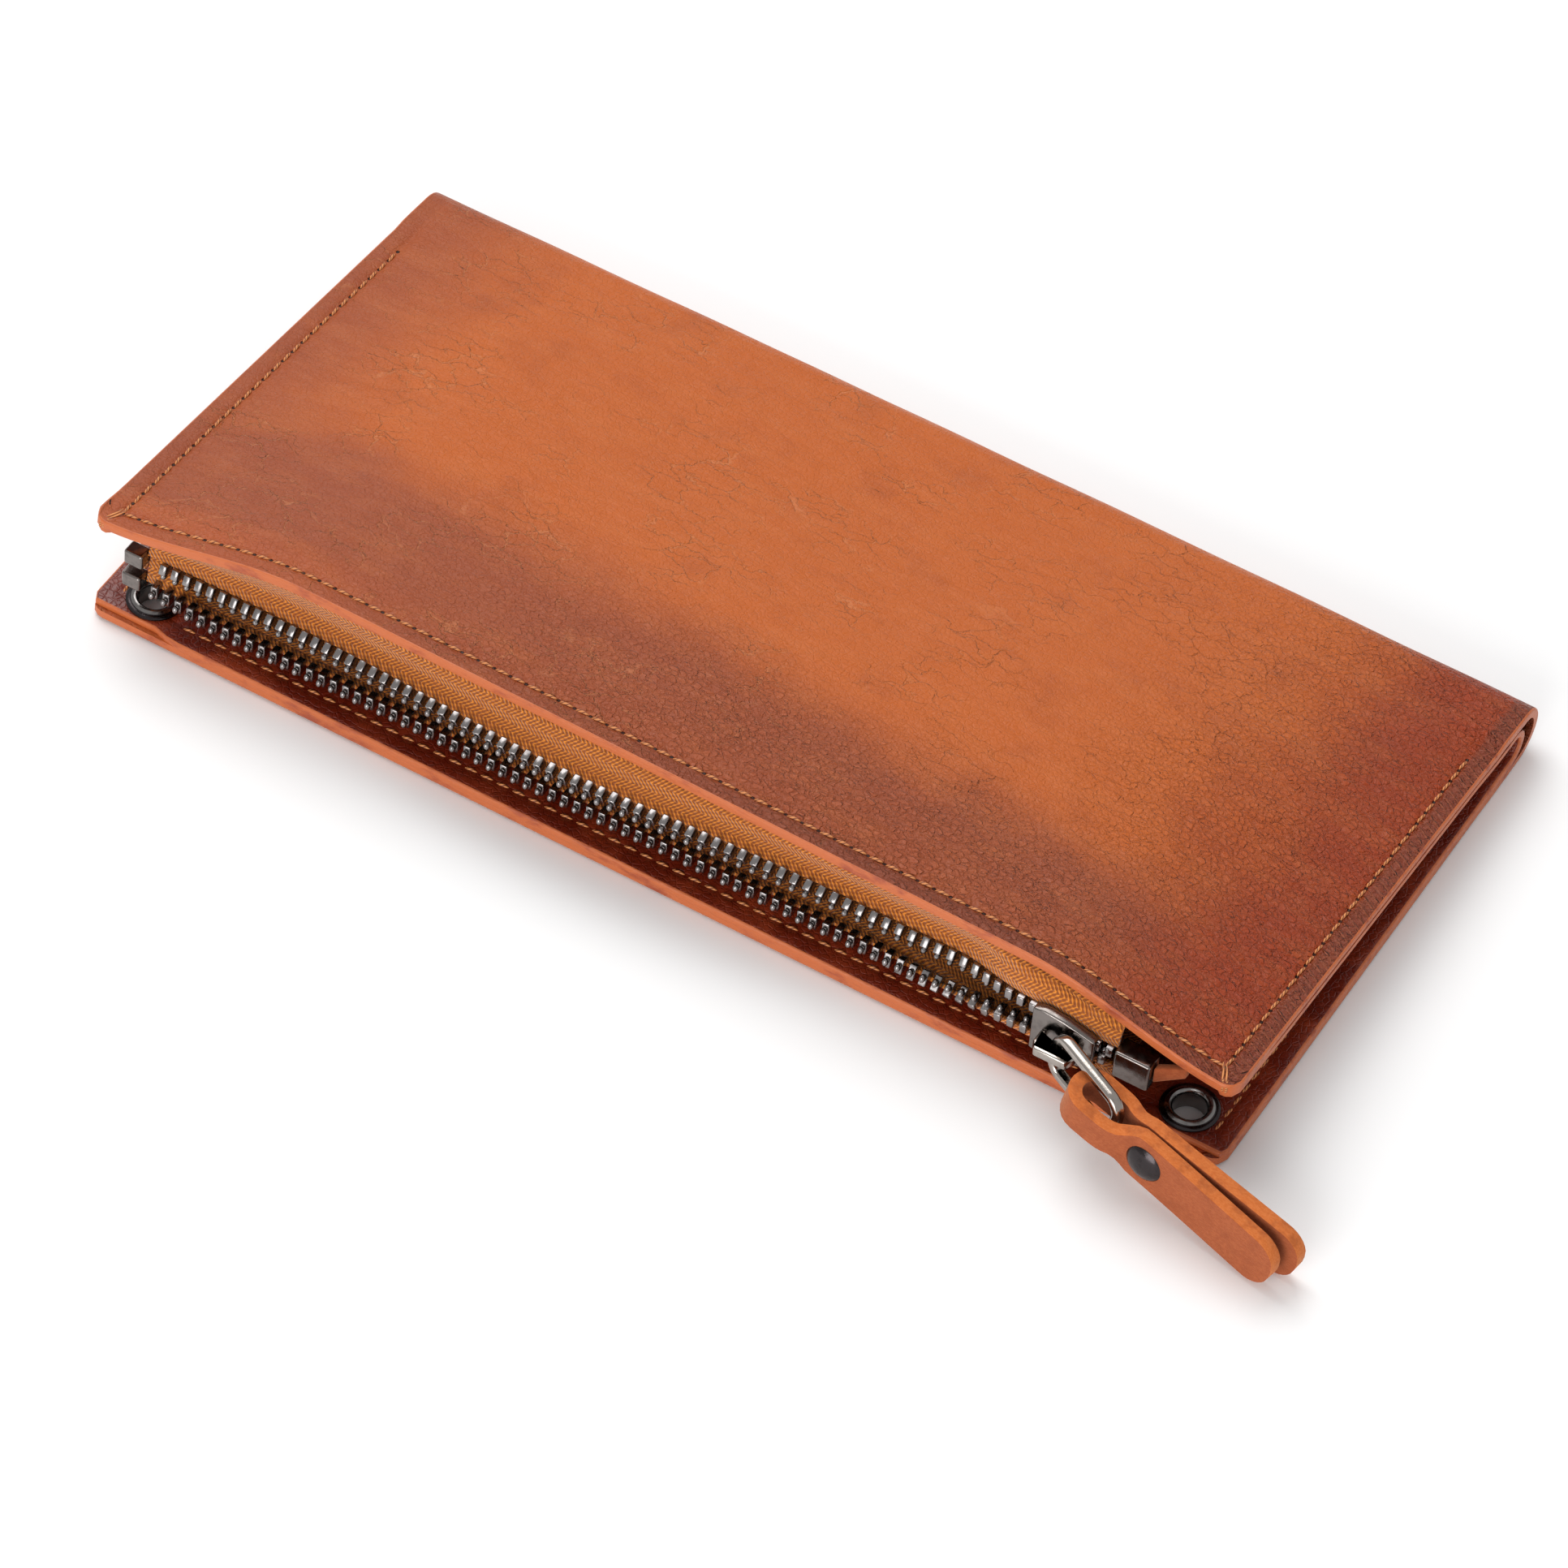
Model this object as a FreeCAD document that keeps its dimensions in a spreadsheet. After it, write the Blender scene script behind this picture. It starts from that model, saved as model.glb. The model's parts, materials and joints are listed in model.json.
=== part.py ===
"""Long bifold travel wallet: a leather cover folded in two, with a zipped note pouch in its front half.

The frame is the wallet lying closed on its back: X runs along its length, +Y points to the fold, -Y to the
zip, +Z up, and the origin is the middle of the back cover's underside. Millimetres.
"""

import FreeCAD, Part
import math
import os
import Sketcher
from FreeCAD import Placement, Rotation, Vector

SIZES = {
    # overall form
    "length": 190.0,            # of both covers, along the fold
    "near_depth": 48.5,         # from the origin to the back half's near edge
    "corner_radius": 2.5,
    "cover_thick": 1.5,
    "lining_thick": 1.3,
    # the fold: the cover and the lining each make a turn of their own
    "fold_y": 44.0,
    "fold_radius": 4.9,
    "lining_fold_y": 41.0,
    "lining_fold_radius": 3.4,
    "fold_gap": 0.4,            # between the leather that stays and the leather that turns
    # the front half rises from the fold to its near edge
    "front_near_y": 47.7,
    "front_near_height": 18.8,
    "front_twist": -1.6,        # the left near corner stands this much above the mean, the right one below
    "front_arch": 4.0,          # how far the pouch lifts the middle of the near edge
    "arch_run": 35.0,           # length of the rise from each corner
    "pouch_lip_y": 43.2,        # near edge of the lining where the pouch opens
    "pouch_floor": 6.9,         # height of the lining there
    "pouch_run": 13.0,          # length of the lining's dip from each end
    "lip_run": 4.0,             # length of its step back from the zip
    "sewn_margin": 3.5,         # both leathers lie together this far in from each end
    "pouch_cloth": 0.3,
    # card pockets
    "slip_thick": 0.6,
    "card_thick": 0.5,
    "pocket_length": 178.0,
    # seams
    "seam_inset": 3.3,
    "thread_width": 0.6,
    "thread_height": 0.25,
    # eyelets
    "eyelet_x": 86.8,
    "eyelet_y": 42.9,
    "eyelet_bore": 2.5,
    "eyelet_barrel": 3.1,
    "eyelet_flange": 4.4,
    "eyelet_rim": 0.5,          # thickness of the flange, and of the washer
    "eyelet_lip": 0.5,          # rolled ring on the flange
    # zip
    "chain_y": 47.3,            # line of the closed zip
    "chain_height": 12.0,
    "tooth_pitch": 2.07,
    "tooth_width": 1.0,
    "tooth_length": 2.7,
    "tooth_thick": 2.3,
    "tooth_lap": 0.7,           # past the chain's middle when meshed
    "tooth_gap": 0.09,          # between the tape's edge and the tooth's clamp
    "tape_thick": 0.6,
    "tape_glue": 0.1,           # between the lower tape and the lining under it
    "tape_start": 87.0,         # left end of both tapes
    "tape_end": 76.6,           # right end, at the end box
    "first_tooth": 75.6,
    "stop_length": 3.2,
    "end_box_length": 5.7,
    # slider
    "slider_x": 68.8,
    "slider_half": 5.0,
    "slider_plate": 0.9,
    "slider_channel": 1.4,      # half the gap between the plates
    "slider_lip": 0.7,          # depth of each guiding lip
    "crown_clear": 2.9,
    "crown_thick": 0.8,
    "crown_width": 1.6,
    "crown_span": 2.5,
    "pivot_reach": 3.7,         # from the slider's middle plane to the ring's bar
    # pull ring
    "ring_length": 14.0,        # between the middles of its end bars
    "ring_bar": 1.5,
    "ring_thick": 1.7,
    "ring_inner_half": 3.1,
    "ring_inner_round": 1.6,
    "ring_yaw": -23.3,
    "pull_pitch": 8.2,
    # pull strap
    "strap_yaw": -9.3,
    "strap_pitch": 10.6,
    "strap_width": 9.0,
    "strap_neck": 5.0,
    "strap_leather": 2.0,
    "loop_back": 4.5,           # from the ring's bar back to the middle of the bend
    "loop_inner": 1.9,
    "near_leg": 30.6,
    "far_leg": 32.3,
    "leg_gap": 1.8,             # between the tips
    "tip_radius": 3.9,
    "rivet_x": 7.0,
    "rivet_shank": 1.1,
    "rivet_head": 3.0,
}

TEETH = 78
doc = FreeCAD.newDocument("TravelWallet")
sheet = doc.addObject("Spreadsheet::Sheet", "Sizes")
for row, (alias, number) in enumerate(SIZES.items(), start=1):
    sheet.set(f"A{row}", str(number))
    sheet.setAlias(f"A{row}", alias)
doc.recompute()
nodes = []


def size(alias):
    """The sheet's number for an alias."""
    return float(getattr(sheet, alias))


def bind(thing, **expressions):
    """Bind properties of an object to expressions in the sheet's aliases."""
    for name, text in expressions.items():
        for alias in sorted(SIZES, key=len, reverse=True):
            text = " ".join(f"Sizes.{w}" if w == alias else w for w in text.split(" "))
        thing.setExpression(name, text)
    return thing


def smooth(share):
    """A rise from 0 to 1 with level ends."""
    share = min(1.0, max(0.0, share))
    return share * share * (3.0 - 2.0 * share)


def keep(thing, label):
    """Give a finished sub-part its node name."""
    thing.Label = label
    nodes.append(thing)
    return thing


# ---------------------------------------------------------------- sketches and bodies


def new_body(name):
    return doc.addObject("PartDesign::Body", name)


def sketch_on(body, role, name, geometry, offset=0.0):
    """A closed sketch on one of the body's own origin planes, moved along the plane's normal by offset."""
    sketch = body.newObject("Sketcher::SketchObject", name)
    plane = next(f for f in body.Origin.OriginFeatures if f.Role == role)
    sketch.AttachmentSupport = (plane, [""])
    sketch.MapMode = "FlatFace"
    sketch.AttachmentOffset = Placement(Vector(0, 0, offset), Rotation())
    sketch.addGeometry(geometry, False)
    return sketch


def polygon(points):
    """Closed run of straight edges in a sketch's plane."""
    corners = [Vector(a, b, 0) for a, b in points]
    return [Part.LineSegment(p, q) for p, q in zip(corners, corners[1:] + corners[:1])]


def arc(centre, radius, start, end):
    """Arc of a sketch, its angles in degrees, anticlockwise."""
    circle = Part.Circle(Vector(centre[0], centre[1], 0), Vector(0, 0, 1), radius)
    return Part.ArcOfCircle(circle, math.radians(start), math.radians(end))


def rounded_box(left, right, low, high, radius):
    """Rectangle with round corners, as sketch geometry."""
    line = lambda a, b, c, d: Part.LineSegment(Vector(a, b, 0), Vector(c, d, 0))
    return [
        line(left + radius, low, right - radius, low),
        arc((right - radius, low + radius), radius, -90, 0),
        line(right, low + radius, right, high - radius),
        arc((right - radius, high - radius), radius, 0, 90),
        line(right - radius, high, left + radius, high),
        arc((left + radius, high - radius), radius, 90, 180),
        line(left, high - radius, left, low + radius),
        arc((left + radius, low + radius), radius, 180, 270),
    ]


def pad(body, sketch, name, length, both_sides=False, away=False):
    """Pad whose length is bound to the sheet."""
    feature = body.newObject("PartDesign::Pad", name)
    feature.Profile = sketch
    feature.SideType = "Symmetric" if both_sides else "One side"
    feature.Reversed = away
    bind(feature, Length=length)
    sketch.Visibility = False
    return feature


def cut_through(body, sketch, name):
    """Pocket through all of the body, both ways; it has to remove something."""
    doc.recompute()
    before = body.Shape.Volume
    feature = body.newObject("PartDesign::Pocket", name)
    feature.Profile = sketch
    feature.SideType = "Symmetric"
    feature.Type = "ThroughAll"
    doc.recompute()
    if body.Shape.Volume > before - 1e-3:
        raise RuntimeError(f"{name} cuts nothing")
    return feature


def round_edges(body, name, chosen, radius):
    """Fillet the tip's edges that the test chooses, with a radius bound to the sheet."""
    doc.recompute()
    base = body.Tip
    picked = [f"Edge{i}" for i, edge in enumerate(base.Shape.Edges, start=1) if chosen(edge)]
    fillet = body.newObject("PartDesign::Fillet", name)
    fillet.Base = (base, picked)
    bind(fillet, Radius=radius)
    doc.recompute()
    return fillet


def lofted(name, stations, section):
    """Body lofted along X through the section's outline at each station, with straight runs between."""
    body = new_body(name)
    outlines = [
        sketch_on(body, "YZ_Plane", f"{name}Section{i}", polygon(section(x)), x)
        for i, x in enumerate(stations)
    ]
    loft = body.newObject("PartDesign::AdditiveLoft", f"{name}Loft")
    loft.Profile = outlines[0]
    loft.Sections = outlines[1:]
    loft.Ruled = True
    for outline in outlines:
        outline.Visibility = False
    return body


def corner_stations(breaks):
    """Stations of a piece as long as the covers: its breaks, with closer ones round its two near corners."""
    half, radius = size("length") / 2, size("corner_radius")
    turn = [half - radius * (1 - math.cos(math.radians(a))) for a in (0, 30, 60, 90)]
    return sorted({round(x, 4) for x in (*breaks, *turn, *(-t for t in turn))})


def inner_stations(breaks, end):
    """The breaks that lie nearer to the middle than an end, and the end itself on both sides."""
    return [-end, *(x for x in breaks if abs(x) < end - 0.01), end]


def corner_pull(x):
    """How far a round corner draws the near edge in at x."""
    radius = size("corner_radius")
    inside = size("length") / 2 - abs(x)
    if inside >= radius:
        return 0.0
    return radius - math.sqrt(max(0.0, radius**2 - (radius - inside) ** 2))


# ---------------------------------------------------------------- surfaces of the front half


COVER_BREAKS = (-95, -86, -78, -69, -58, 0, 58, 69, 78, 86, 95)
LINING_BREAKS = (-95, -92.5, -90, -88, -86, -82, -78, -73, -65, 0, 65, 73, 78, 82, 86, 88, 90, 92.5, 95)


def between(breaks, edge, x):
    """Straight-line value of an edge's point at x, between its breaks: all that lies on a leather follows it."""
    x = min(max(x, breaks[0]), breaks[-1])
    i = max(k for k in range(len(breaks) - 1) if breaks[k] <= x)
    share = (x - breaks[i]) / (breaks[i + 1] - breaks[i])
    return tuple(a + share * (b - a) for a, b in zip(edge(breaks[i]), edge(breaks[i + 1])))


def cover_edge(x):
    """The front cover's near edge: its y and the height of its outer face."""
    end = size("length") / 2
    arch = size("front_arch") * smooth((end - abs(x)) / size("arch_run"))
    pull = 0.55 * arch
    return -size("front_near_y") + pull, size("front_near_height") + size("front_twist") * x / end + arch


def cover_near(x):
    return between(COVER_BREAKS, cover_edge, x)


def cover_fold():
    """Y of the front cover's end at the fold, and the height of its outer face."""
    return size("fold_y") + 0.65 - size("fold_gap"), 2 * size("fold_radius")


def cover_height(x, y, depth=0.0):
    """Height, at x and y, of the face that lies depth under the front cover's outer face."""
    near_y, near_z = cover_near(x)
    fold_y, fold_z = cover_fold()
    slope = (near_z - fold_z) / (fold_y - near_y)
    return fold_z + slope * (fold_y - y) - depth * math.hypot(1.0, slope)


def lining_edge(x):
    """The front lining's near edge: its y and the height of its upper face.

    It is sewn to the cover at both ends, steps back clear of the zip, and dips to the pouch's floor."""
    inside = size("length") / 2 - abs(x)
    back = smooth((inside - 2.0) / size("lip_run"))
    dip = smooth((inside - size("sewn_margin")) / size("pouch_run"))
    cover_y, _ = cover_near(x)
    lip_y = cover_y + back * (-size("pouch_lip_y") - cover_y)
    top = cover_height(x, lip_y, size("cover_thick") + 0.03)
    return lip_y, top + dip * (size("pouch_floor") - top)


def lining_near(x):
    return between(LINING_BREAKS, lining_edge, x)


def lining_height(x, y):
    """Height of the front lining's upper face at x and y."""
    near_y, near_z = lining_near(x)
    fold_y = size("lining_fold_y") + 0.2 - size("fold_gap")
    fold_z = cover_height(x, fold_y, size("cover_thick")) - 0.1
    return fold_z + (near_z - fold_z) * (fold_y - y) / (fold_y - near_y)


# ---------------------------------------------------------------- line of the zip


def row_spread(x):
    """How far the slider's post holds each row off the chain's middle at x."""
    return 1.5 * min(1.0, max(0.0, (size("slider_x") + 3.0 - x) / 6.0))


def mouth_x():
    """X of the slider's mouth, where the open rows come in."""
    return size("slider_x") - size("slider_half") - 0.2


def place_tooth(open_mid, open_angle, closed_root, closed, up):
    """Root and direction of a tooth: a blend of its place on the open edge and its place in the chain."""
    turn = math.radians(open_angle * (1 - closed))
    way = (-math.sin(turn), up * math.cos(turn))
    half = size("tooth_length") / 2
    open_root = (open_mid[0] - half * way[0], open_mid[1] - half * way[1])
    root = tuple(o + closed * (c - o) for o, c in zip(open_root, closed_root))
    return root, way


def upper_row(x):
    """Root (y, z) and direction of the upper row's tooth at x."""
    lift = max(0.0, math.sin(math.pi * (x + 88.0) / 150.0)) if x < 62.0 else 0.0
    open_mid = (-45.0 - 4.4 * lift**2, 12.3 + 3.4 * lift)
    reach = size("tooth_length") - size("tooth_lap")
    closed_root = (-size("chain_y"), size("chain_height") + reach + row_spread(x))
    closed = smooth((x - mouth_x() + 14.0) / 14.0)
    return place_tooth(open_mid, 20.0 + 50.0 * lift, closed_root, closed, -1)


def lower_row(x):
    """Root (y, z) and direction of the lower row's tooth at x."""
    open_mid = (-46.2, 7.4 + smooth((-75.0 - x) / 12.0))
    reach = size("tooth_length") - size("tooth_lap")
    closed_root = (-size("chain_y"), size("chain_height") - reach - row_spread(x))
    closed = smooth((x - mouth_x() + 33.0) / 33.0)
    return place_tooth(open_mid, 90.0, closed_root, closed, 1)


# ---------------------------------------------------------------- the back half


def fold_profile(centre_y, radius, thick, floor, end_y, near):
    """Outline in Y and Z of a leather that lies flat and turns up and over at the fold.

    The cut across its upper end leans, so that the front half turns away from it."""
    middle = floor + radius
    lean = math.degrees(math.asin(end_y / radius))
    tip_out = (centre_y + radius * math.sin(math.radians(lean)), middle + radius * math.cos(math.radians(lean)))
    tip_in = (centre_y - 0.5, middle + radius - thick)
    inner = radius - thick
    line = lambda a, b: Part.LineSegment(Vector(a[0], a[1], 0), Vector(b[0], b[1], 0))
    return [
        line((-near, floor), (centre_y, floor)),
        arc((centre_y, middle), radius, -90, 90 - lean),
        line(tip_out, tip_in),
        line(tip_in, (centre_y, middle + inner)),
        arc((centre_y, middle), inner, -90, 90),
        line((centre_y, floor + thick), (-near, floor + thick)),
        line((-near, floor + thick), (-near, floor)),
    ]


def eyelet_holes(body, radius):
    """Holes for the two eyelets."""
    circles = [
        Part.Circle(Vector(side * size("eyelet_x"), -size("eyelet_y"), 0), Vector(0, 0, 1), radius)
        for side in (-1, 1)
    ]
    cut_through(body, sketch_on(body, "XY_Plane", body.Name + "EyeletHoles", circles), body.Name + "Holes")


def near_corners(edge):
    """True for the two upright edges at a leather's near corners."""
    box = edge.BoundBox
    return box.XLength < 1e-3 and box.YLength < 1e-3 and box.ZLength > 0.5 and box.YMax < -40


def outer_cover_back():
    """Back cover and spine: the part of the outer leather that stays when the wallet opens."""
    body = new_body("BackCover")
    outline = fold_profile(
        size("fold_y"), size("fold_radius"), size("cover_thick"), 0.0, 0.65, size("near_depth")
    )
    pad(body, sketch_on(body, "YZ_Plane", "BackCoverProfile", outline), "BackCoverPad", "length", True)
    round_edges(body, "BackCoverCorners", near_corners, "corner_radius")
    eyelet_holes(body, size("eyelet_barrel"))
    seat = [
        Part.Circle(Vector(side * size("eyelet_x"), -size("eyelet_y"), 0), Vector(0, 0, 1), size("eyelet_flange"))
        for side in (-1, 1)
    ]
    before = body.Shape.Volume
    recess = body.newObject("PartDesign::Pocket", "WasherSeats")
    recess.Profile = sketch_on(body, "XY_Plane", "WasherSeatRings", seat)
    recess.Reversed = True
    bind(recess, Length="eyelet_rim")
    doc.recompute()
    if body.Shape.Volume > before - 1:
        raise RuntimeError("the washer seats cut nothing")
    return keep(body, "outer_cover_back")


def inner_lining_back():
    """Dark glossy leather inside the back half, with its own smaller turn at the fold."""
    body = new_body("BackLining")
    outline = fold_profile(
        size("lining_fold_y"), size("lining_fold_radius"), size("lining_thick"), size("cover_thick"),
        0.25, size("near_depth"),
    )
    pad(body, sketch_on(body, "YZ_Plane", "BackLiningProfile", outline), "BackLiningPad", "length", True)
    half, near = size("length") / 2, size("near_depth")
    for side, tag in ((-1, "Left"), (1, "Right")):
        relief = polygon([
            (side * (half + 1), -near - 1), (side * (half - 13), -near - 1),
            (side * (half - 13.6), -near + 0.9), (side * (half + 1), -near + 0.9),
        ])
        cut_through(body, sketch_on(body, "XY_Plane", f"{tag}Relief", relief), f"{tag}ReliefCut")
    eyelet_holes(body, size("eyelet_barrel"))
    return keep(body, "inner_lining_back")


def sheet_box(name, label, length, width, thick, middle_x, near_y, floor):
    """Flat rectangular piece: a padded rectangle whose three sizes are bound to the sheet."""
    body = new_body(name)
    sketch = sketch_on(body, "XY_Plane", name + "Outline", polygon([(-1, 0), (1, 0), (1, 1), (-1, 1)]))
    for first in range(4):
        sketch.addConstraint(Sketcher.Constraint("Coincident", first, 2, (first + 1) % 4, 1))
    for row in (0, 2):
        sketch.addConstraint(Sketcher.Constraint("Horizontal", row))
    for row in (1, 3):
        sketch.addConstraint(Sketcher.Constraint("Vertical", row))
    sketch.addConstraint(Sketcher.Constraint("Symmetric", 0, 1, 0, 2, -1, 1))
    across = sketch.addConstraint(Sketcher.Constraint("DistanceX", 0, 1, 0, 2, 2.0))
    deep = sketch.addConstraint(Sketcher.Constraint("DistanceY", 1, 1, 1, 2, 1.0))
    bind(sketch, **{f"Constraints[{across}]": length, f"Constraints[{deep}]": width})
    pad(body, sketch, name + "Pad", thick)
    body.Placement = Placement(Vector(middle_x, near_y, floor), Rotation())
    return keep(body, label)


def card_pockets():
    """Slip pocket over the lining, and three stepped card pockets on it, opening towards the fold."""
    floor = size("cover_thick") + size("lining_thick")
    near = -size("near_depth") + 11.5
    sheet_box("SlipPanel", "slip_pocket_panel", "pocket_length", "74.0", "slip_thick", 0, near, floor)
    floor += size("slip_thick")
    for depth, name, label in (
        ("62.0", "BackPocket", "card_pocket_back"),
        ("51.0", "MiddlePocket", "card_pocket_middle"),
        ("40.0", "FrontPocket", "card_pocket_front"),
    ):
        sheet_box(name, label, "pocket_length", depth, "card_thick", 0, near, floor)
        floor += size("card_thick")
    sheet_box("PocketSeam", "card_pocket_thread", "thread_width", "38.0", "thread_height - 0.05", 0, near + 1, floor)


def thread_run(name, label, corners, height, floor):
    """Flat thread line along corner points, joined square, standing on the leather."""
    body = new_body(name)
    half = size("thread_width") / 2
    left, right = [], []
    for i, (x, y) in enumerate(corners):
        before, after = corners[max(0, i - 1)], corners[min(len(corners) - 1, i + 1)]
        ways = [
            (b[0] - a[0], b[1] - a[1]) for a, b in ((before, (x, y)), ((x, y), after)) if a != b
        ]
        units = [(u / math.hypot(u, v), v / math.hypot(u, v)) for u, v in ways]
        normal = [(-v, u) for u, v in units]
        mean = (sum(n[0] for n in normal) / len(normal), sum(n[1] for n in normal) / len(normal))
        grow = half / (mean[0] * normal[0][0] + mean[1] * normal[0][1])
        left.append((x + mean[0] * grow, y + mean[1] * grow))
        right.append((x - mean[0] * grow, y - mean[1] * grow))
    pad(body, sketch_on(body, "XY_Plane", name + "Line", polygon(left + right[::-1])), name + "Pad", height)
    body.Placement = Placement(Vector(0, 0, floor), Rotation())
    return keep(body, label)


def back_seams():
    """Thread on the back lining: a run along each end, and one along the near edge between the eyelets."""
    end = size("length") / 2 - size("seam_inset")
    near = -size("near_depth") + size("seam_inset")
    floor = size("cover_thick") + size("lining_thick")
    for side, tag in ((-1, "left"), (1, "right")):
        run = [(side * end, near + 0.8), (side * end, 30.0)]
        thread_run(tag.title() + "Thread", f"back_thread_{tag}", run, "thread_height", floor)
    run = [(-end + 11, near), (end - 11, near)]
    thread_run("NearThread", "back_thread_near", run, "thread_height", floor)


def eyelets():
    """Two turned eyelets with a rolled lip, and the washers that they are set into from below."""
    top = size("cover_thick") + size("lining_thick")
    bore, barrel, flange = size("eyelet_bore"), size("eyelet_barrel"), size("eyelet_flange")
    rim, lip = size("eyelet_rim"), size("eyelet_lip")
    barrel_profile = [
        (bore, rim), (barrel, rim), (barrel, top), (flange, top), (flange - 0.1, top + rim),
        (barrel + 0.5, top + rim), (barrel + 0.1, top + rim + lip), (bore, top + rim + lip),
    ]
    for side, tag in ((-1, "left"), (1, "right")):
        place = Placement(Vector(side * size("eyelet_x"), -size("eyelet_y"), 0), Rotation())
        body = new_body(tag.title() + "Eyelet")
        turned = body.newObject("PartDesign::Revolution", tag.title() + "EyeletTurned")
        turned.Profile = sketch_on(body, "XZ_Plane", tag.title() + "EyeletProfile", polygon(barrel_profile))
        turned.ReferenceAxis = (next(f for f in body.Origin.OriginFeatures if f.Role == "Z_Axis"), [""])
        turned.Angle = 360
        body.Placement = place
        keep(body, f"eyelet_{tag}")
        disc = bind(doc.addObject("Part::Cylinder", tag.title() + "WasherDisc"), Radius="eyelet_flange - 0.05",
                    Height="eyelet_rim")
        hole = bind(doc.addObject("Part::Cylinder", tag.title() + "WasherHole"), Radius="eyelet_bore",
                    Height="eyelet_rim")
        washer = doc.addObject("Part::Cut", tag.title() + "Washer")
        washer.Base, washer.Tool = disc, hole
        washer.Placement = place
        keep(washer, f"eyelet_washer_{tag}")


# ---------------------------------------------------------------- the front half


def outer_cover_front():
    """Front cover: the part of the outer leather that turns over when the wallet opens."""
    thick = size("cover_thick")

    def section(x):
        near_y, _ = cover_near(x)
        near_y += corner_pull(x)
        fold_y, _ = cover_fold()
        return [
            (near_y, cover_height(x, near_y)), (fold_y, cover_height(x, fold_y)),
            (fold_y - 1.15, cover_height(x, fold_y - 1.15, thick)), (near_y, cover_height(x, near_y, thick)),
        ]

    return keep(lofted("FrontCover", corner_stations(COVER_BREAKS), section), "outer_cover_front")


def inner_lining_front():
    """Lining of the front half: the back wall of the zipped pouch, dipping between its sewn ends."""
    thick = size("lining_thick")

    def section(x):
        near_y, _ = lining_near(x)
        near_y += corner_pull(x)
        fold_y = size("lining_fold_y") + 0.2 - size("fold_gap")
        return [
            (near_y, lining_height(x, near_y)), (fold_y, lining_height(x, fold_y)),
            (fold_y - 0.45, lining_height(x, fold_y - 0.45) - thick), (near_y, lining_height(x, near_y) - thick),
        ]

    return keep(lofted("FrontLining", corner_stations(LINING_BREAKS), section), "inner_lining_front")


def pouch_cloths():
    """Thin cloth inside the pouch: one piece under the cover, one on the lining."""
    cloth, far = size("pouch_cloth"), 30.0
    under = size("cover_thick") + 0.03

    def upper(x):
        return [
            (-38.0, cover_height(x, -38.0, under)), (far, cover_height(x, far, under)),
            (far, cover_height(x, far, under + cloth)), (-38.0, cover_height(x, -38.0, under + cloth)),
        ]

    def lower(x):
        near = -36.0
        return [
            (near, lining_height(x, near) + cloth), (far, lining_height(x, far) + cloth),
            (far, lining_height(x, far)), (near, lining_height(x, near)),
        ]

    keep(lofted("UpperCloth", inner_stations(COVER_BREAKS, 80.0), upper), "pouch_cloth_upper")
    keep(lofted("LowerCloth", inner_stations(LINING_BREAKS, 76.0), lower), "pouch_cloth_lower")


def front_seam():
    """Thread on the front cover along its left, near and right edges."""
    inset, half = size("seam_inset"), size("thread_width") / 2
    end = size("length") / 2 - inset
    high = size("thread_height")

    def near_line(x):
        middle = cover_near(x)[0] + inset
        return [
            (middle - half, cover_height(x, middle - half)), (middle + half, cover_height(x, middle + half)),
            (middle + half, cover_height(x, middle + half, -high)), (middle - half, cover_height(x, middle - half, -high)),
        ]

    def end_line(x):
        near = cover_near(x)[0] + inset + half + 0.05
        return [
            (near, cover_height(x, near)), (30.0, cover_height(x, 30.0)),
            (30.0, cover_height(x, 30.0, -high)), (near, cover_height(x, near, -high)),
        ]

    keep(lofted("FrontNearThread", inner_stations(COVER_BREAKS, end - 1.0), near_line), "front_thread_near")
    for side, tag in ((-1, "left"), (1, "right")):
        ends = sorted(side * (end + share * half) for share in (-1, 0, 1))
        keep(lofted(f"Front{tag.title()}Thread", ends, end_line), f"front_thread_{tag}")


# ---------------------------------------------------------------- the zip


def tape_stations():
    """Stations of the tapes: spaced along the open edge, closer where the rows run into the slider."""
    start, mouth = -size("tape_start"), mouth_x()
    even = [start + (mouth - start) * i / 44 for i in range(44)]
    return even + [mouth, mouth + 1.5, mouth + 3.0, mouth + 5.0, mouth + 8.2, size("tape_end")]


def upper_tape():
    """Upper tape: sewn under the cover's near edge, and hanging from it down to the teeth."""
    thick, under = size("tape_thick"), size("cover_thick")

    def section(x):
        root, way = upper_row(x)
        edge = cover_near(x)[0] + 0.4
        top = cover_height(x, edge, under)
        side = (way[1] * thick / 2, -way[0] * thick / 2)
        reach = 0.45 * (top - root[1])
        knee = (root[0] - reach * way[0], root[1] - reach * way[1])
        return [
            (-38.3, cover_height(x, -38.3, under)), (edge, top),
            (knee[0] + side[0], knee[1] + side[1]), (root[0] + side[0], root[1] + side[1]),
            (root[0] - side[0], root[1] - side[1]), (knee[0] - side[0], knee[1] - side[1]),
            (edge + thick, cover_height(x, edge + thick, under + thick)),
            (-38.3, cover_height(x, -38.3, under + thick)),
        ]

    return keep(lofted("UpperTape", tape_stations(), section), "zip_tape_upper")


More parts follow.
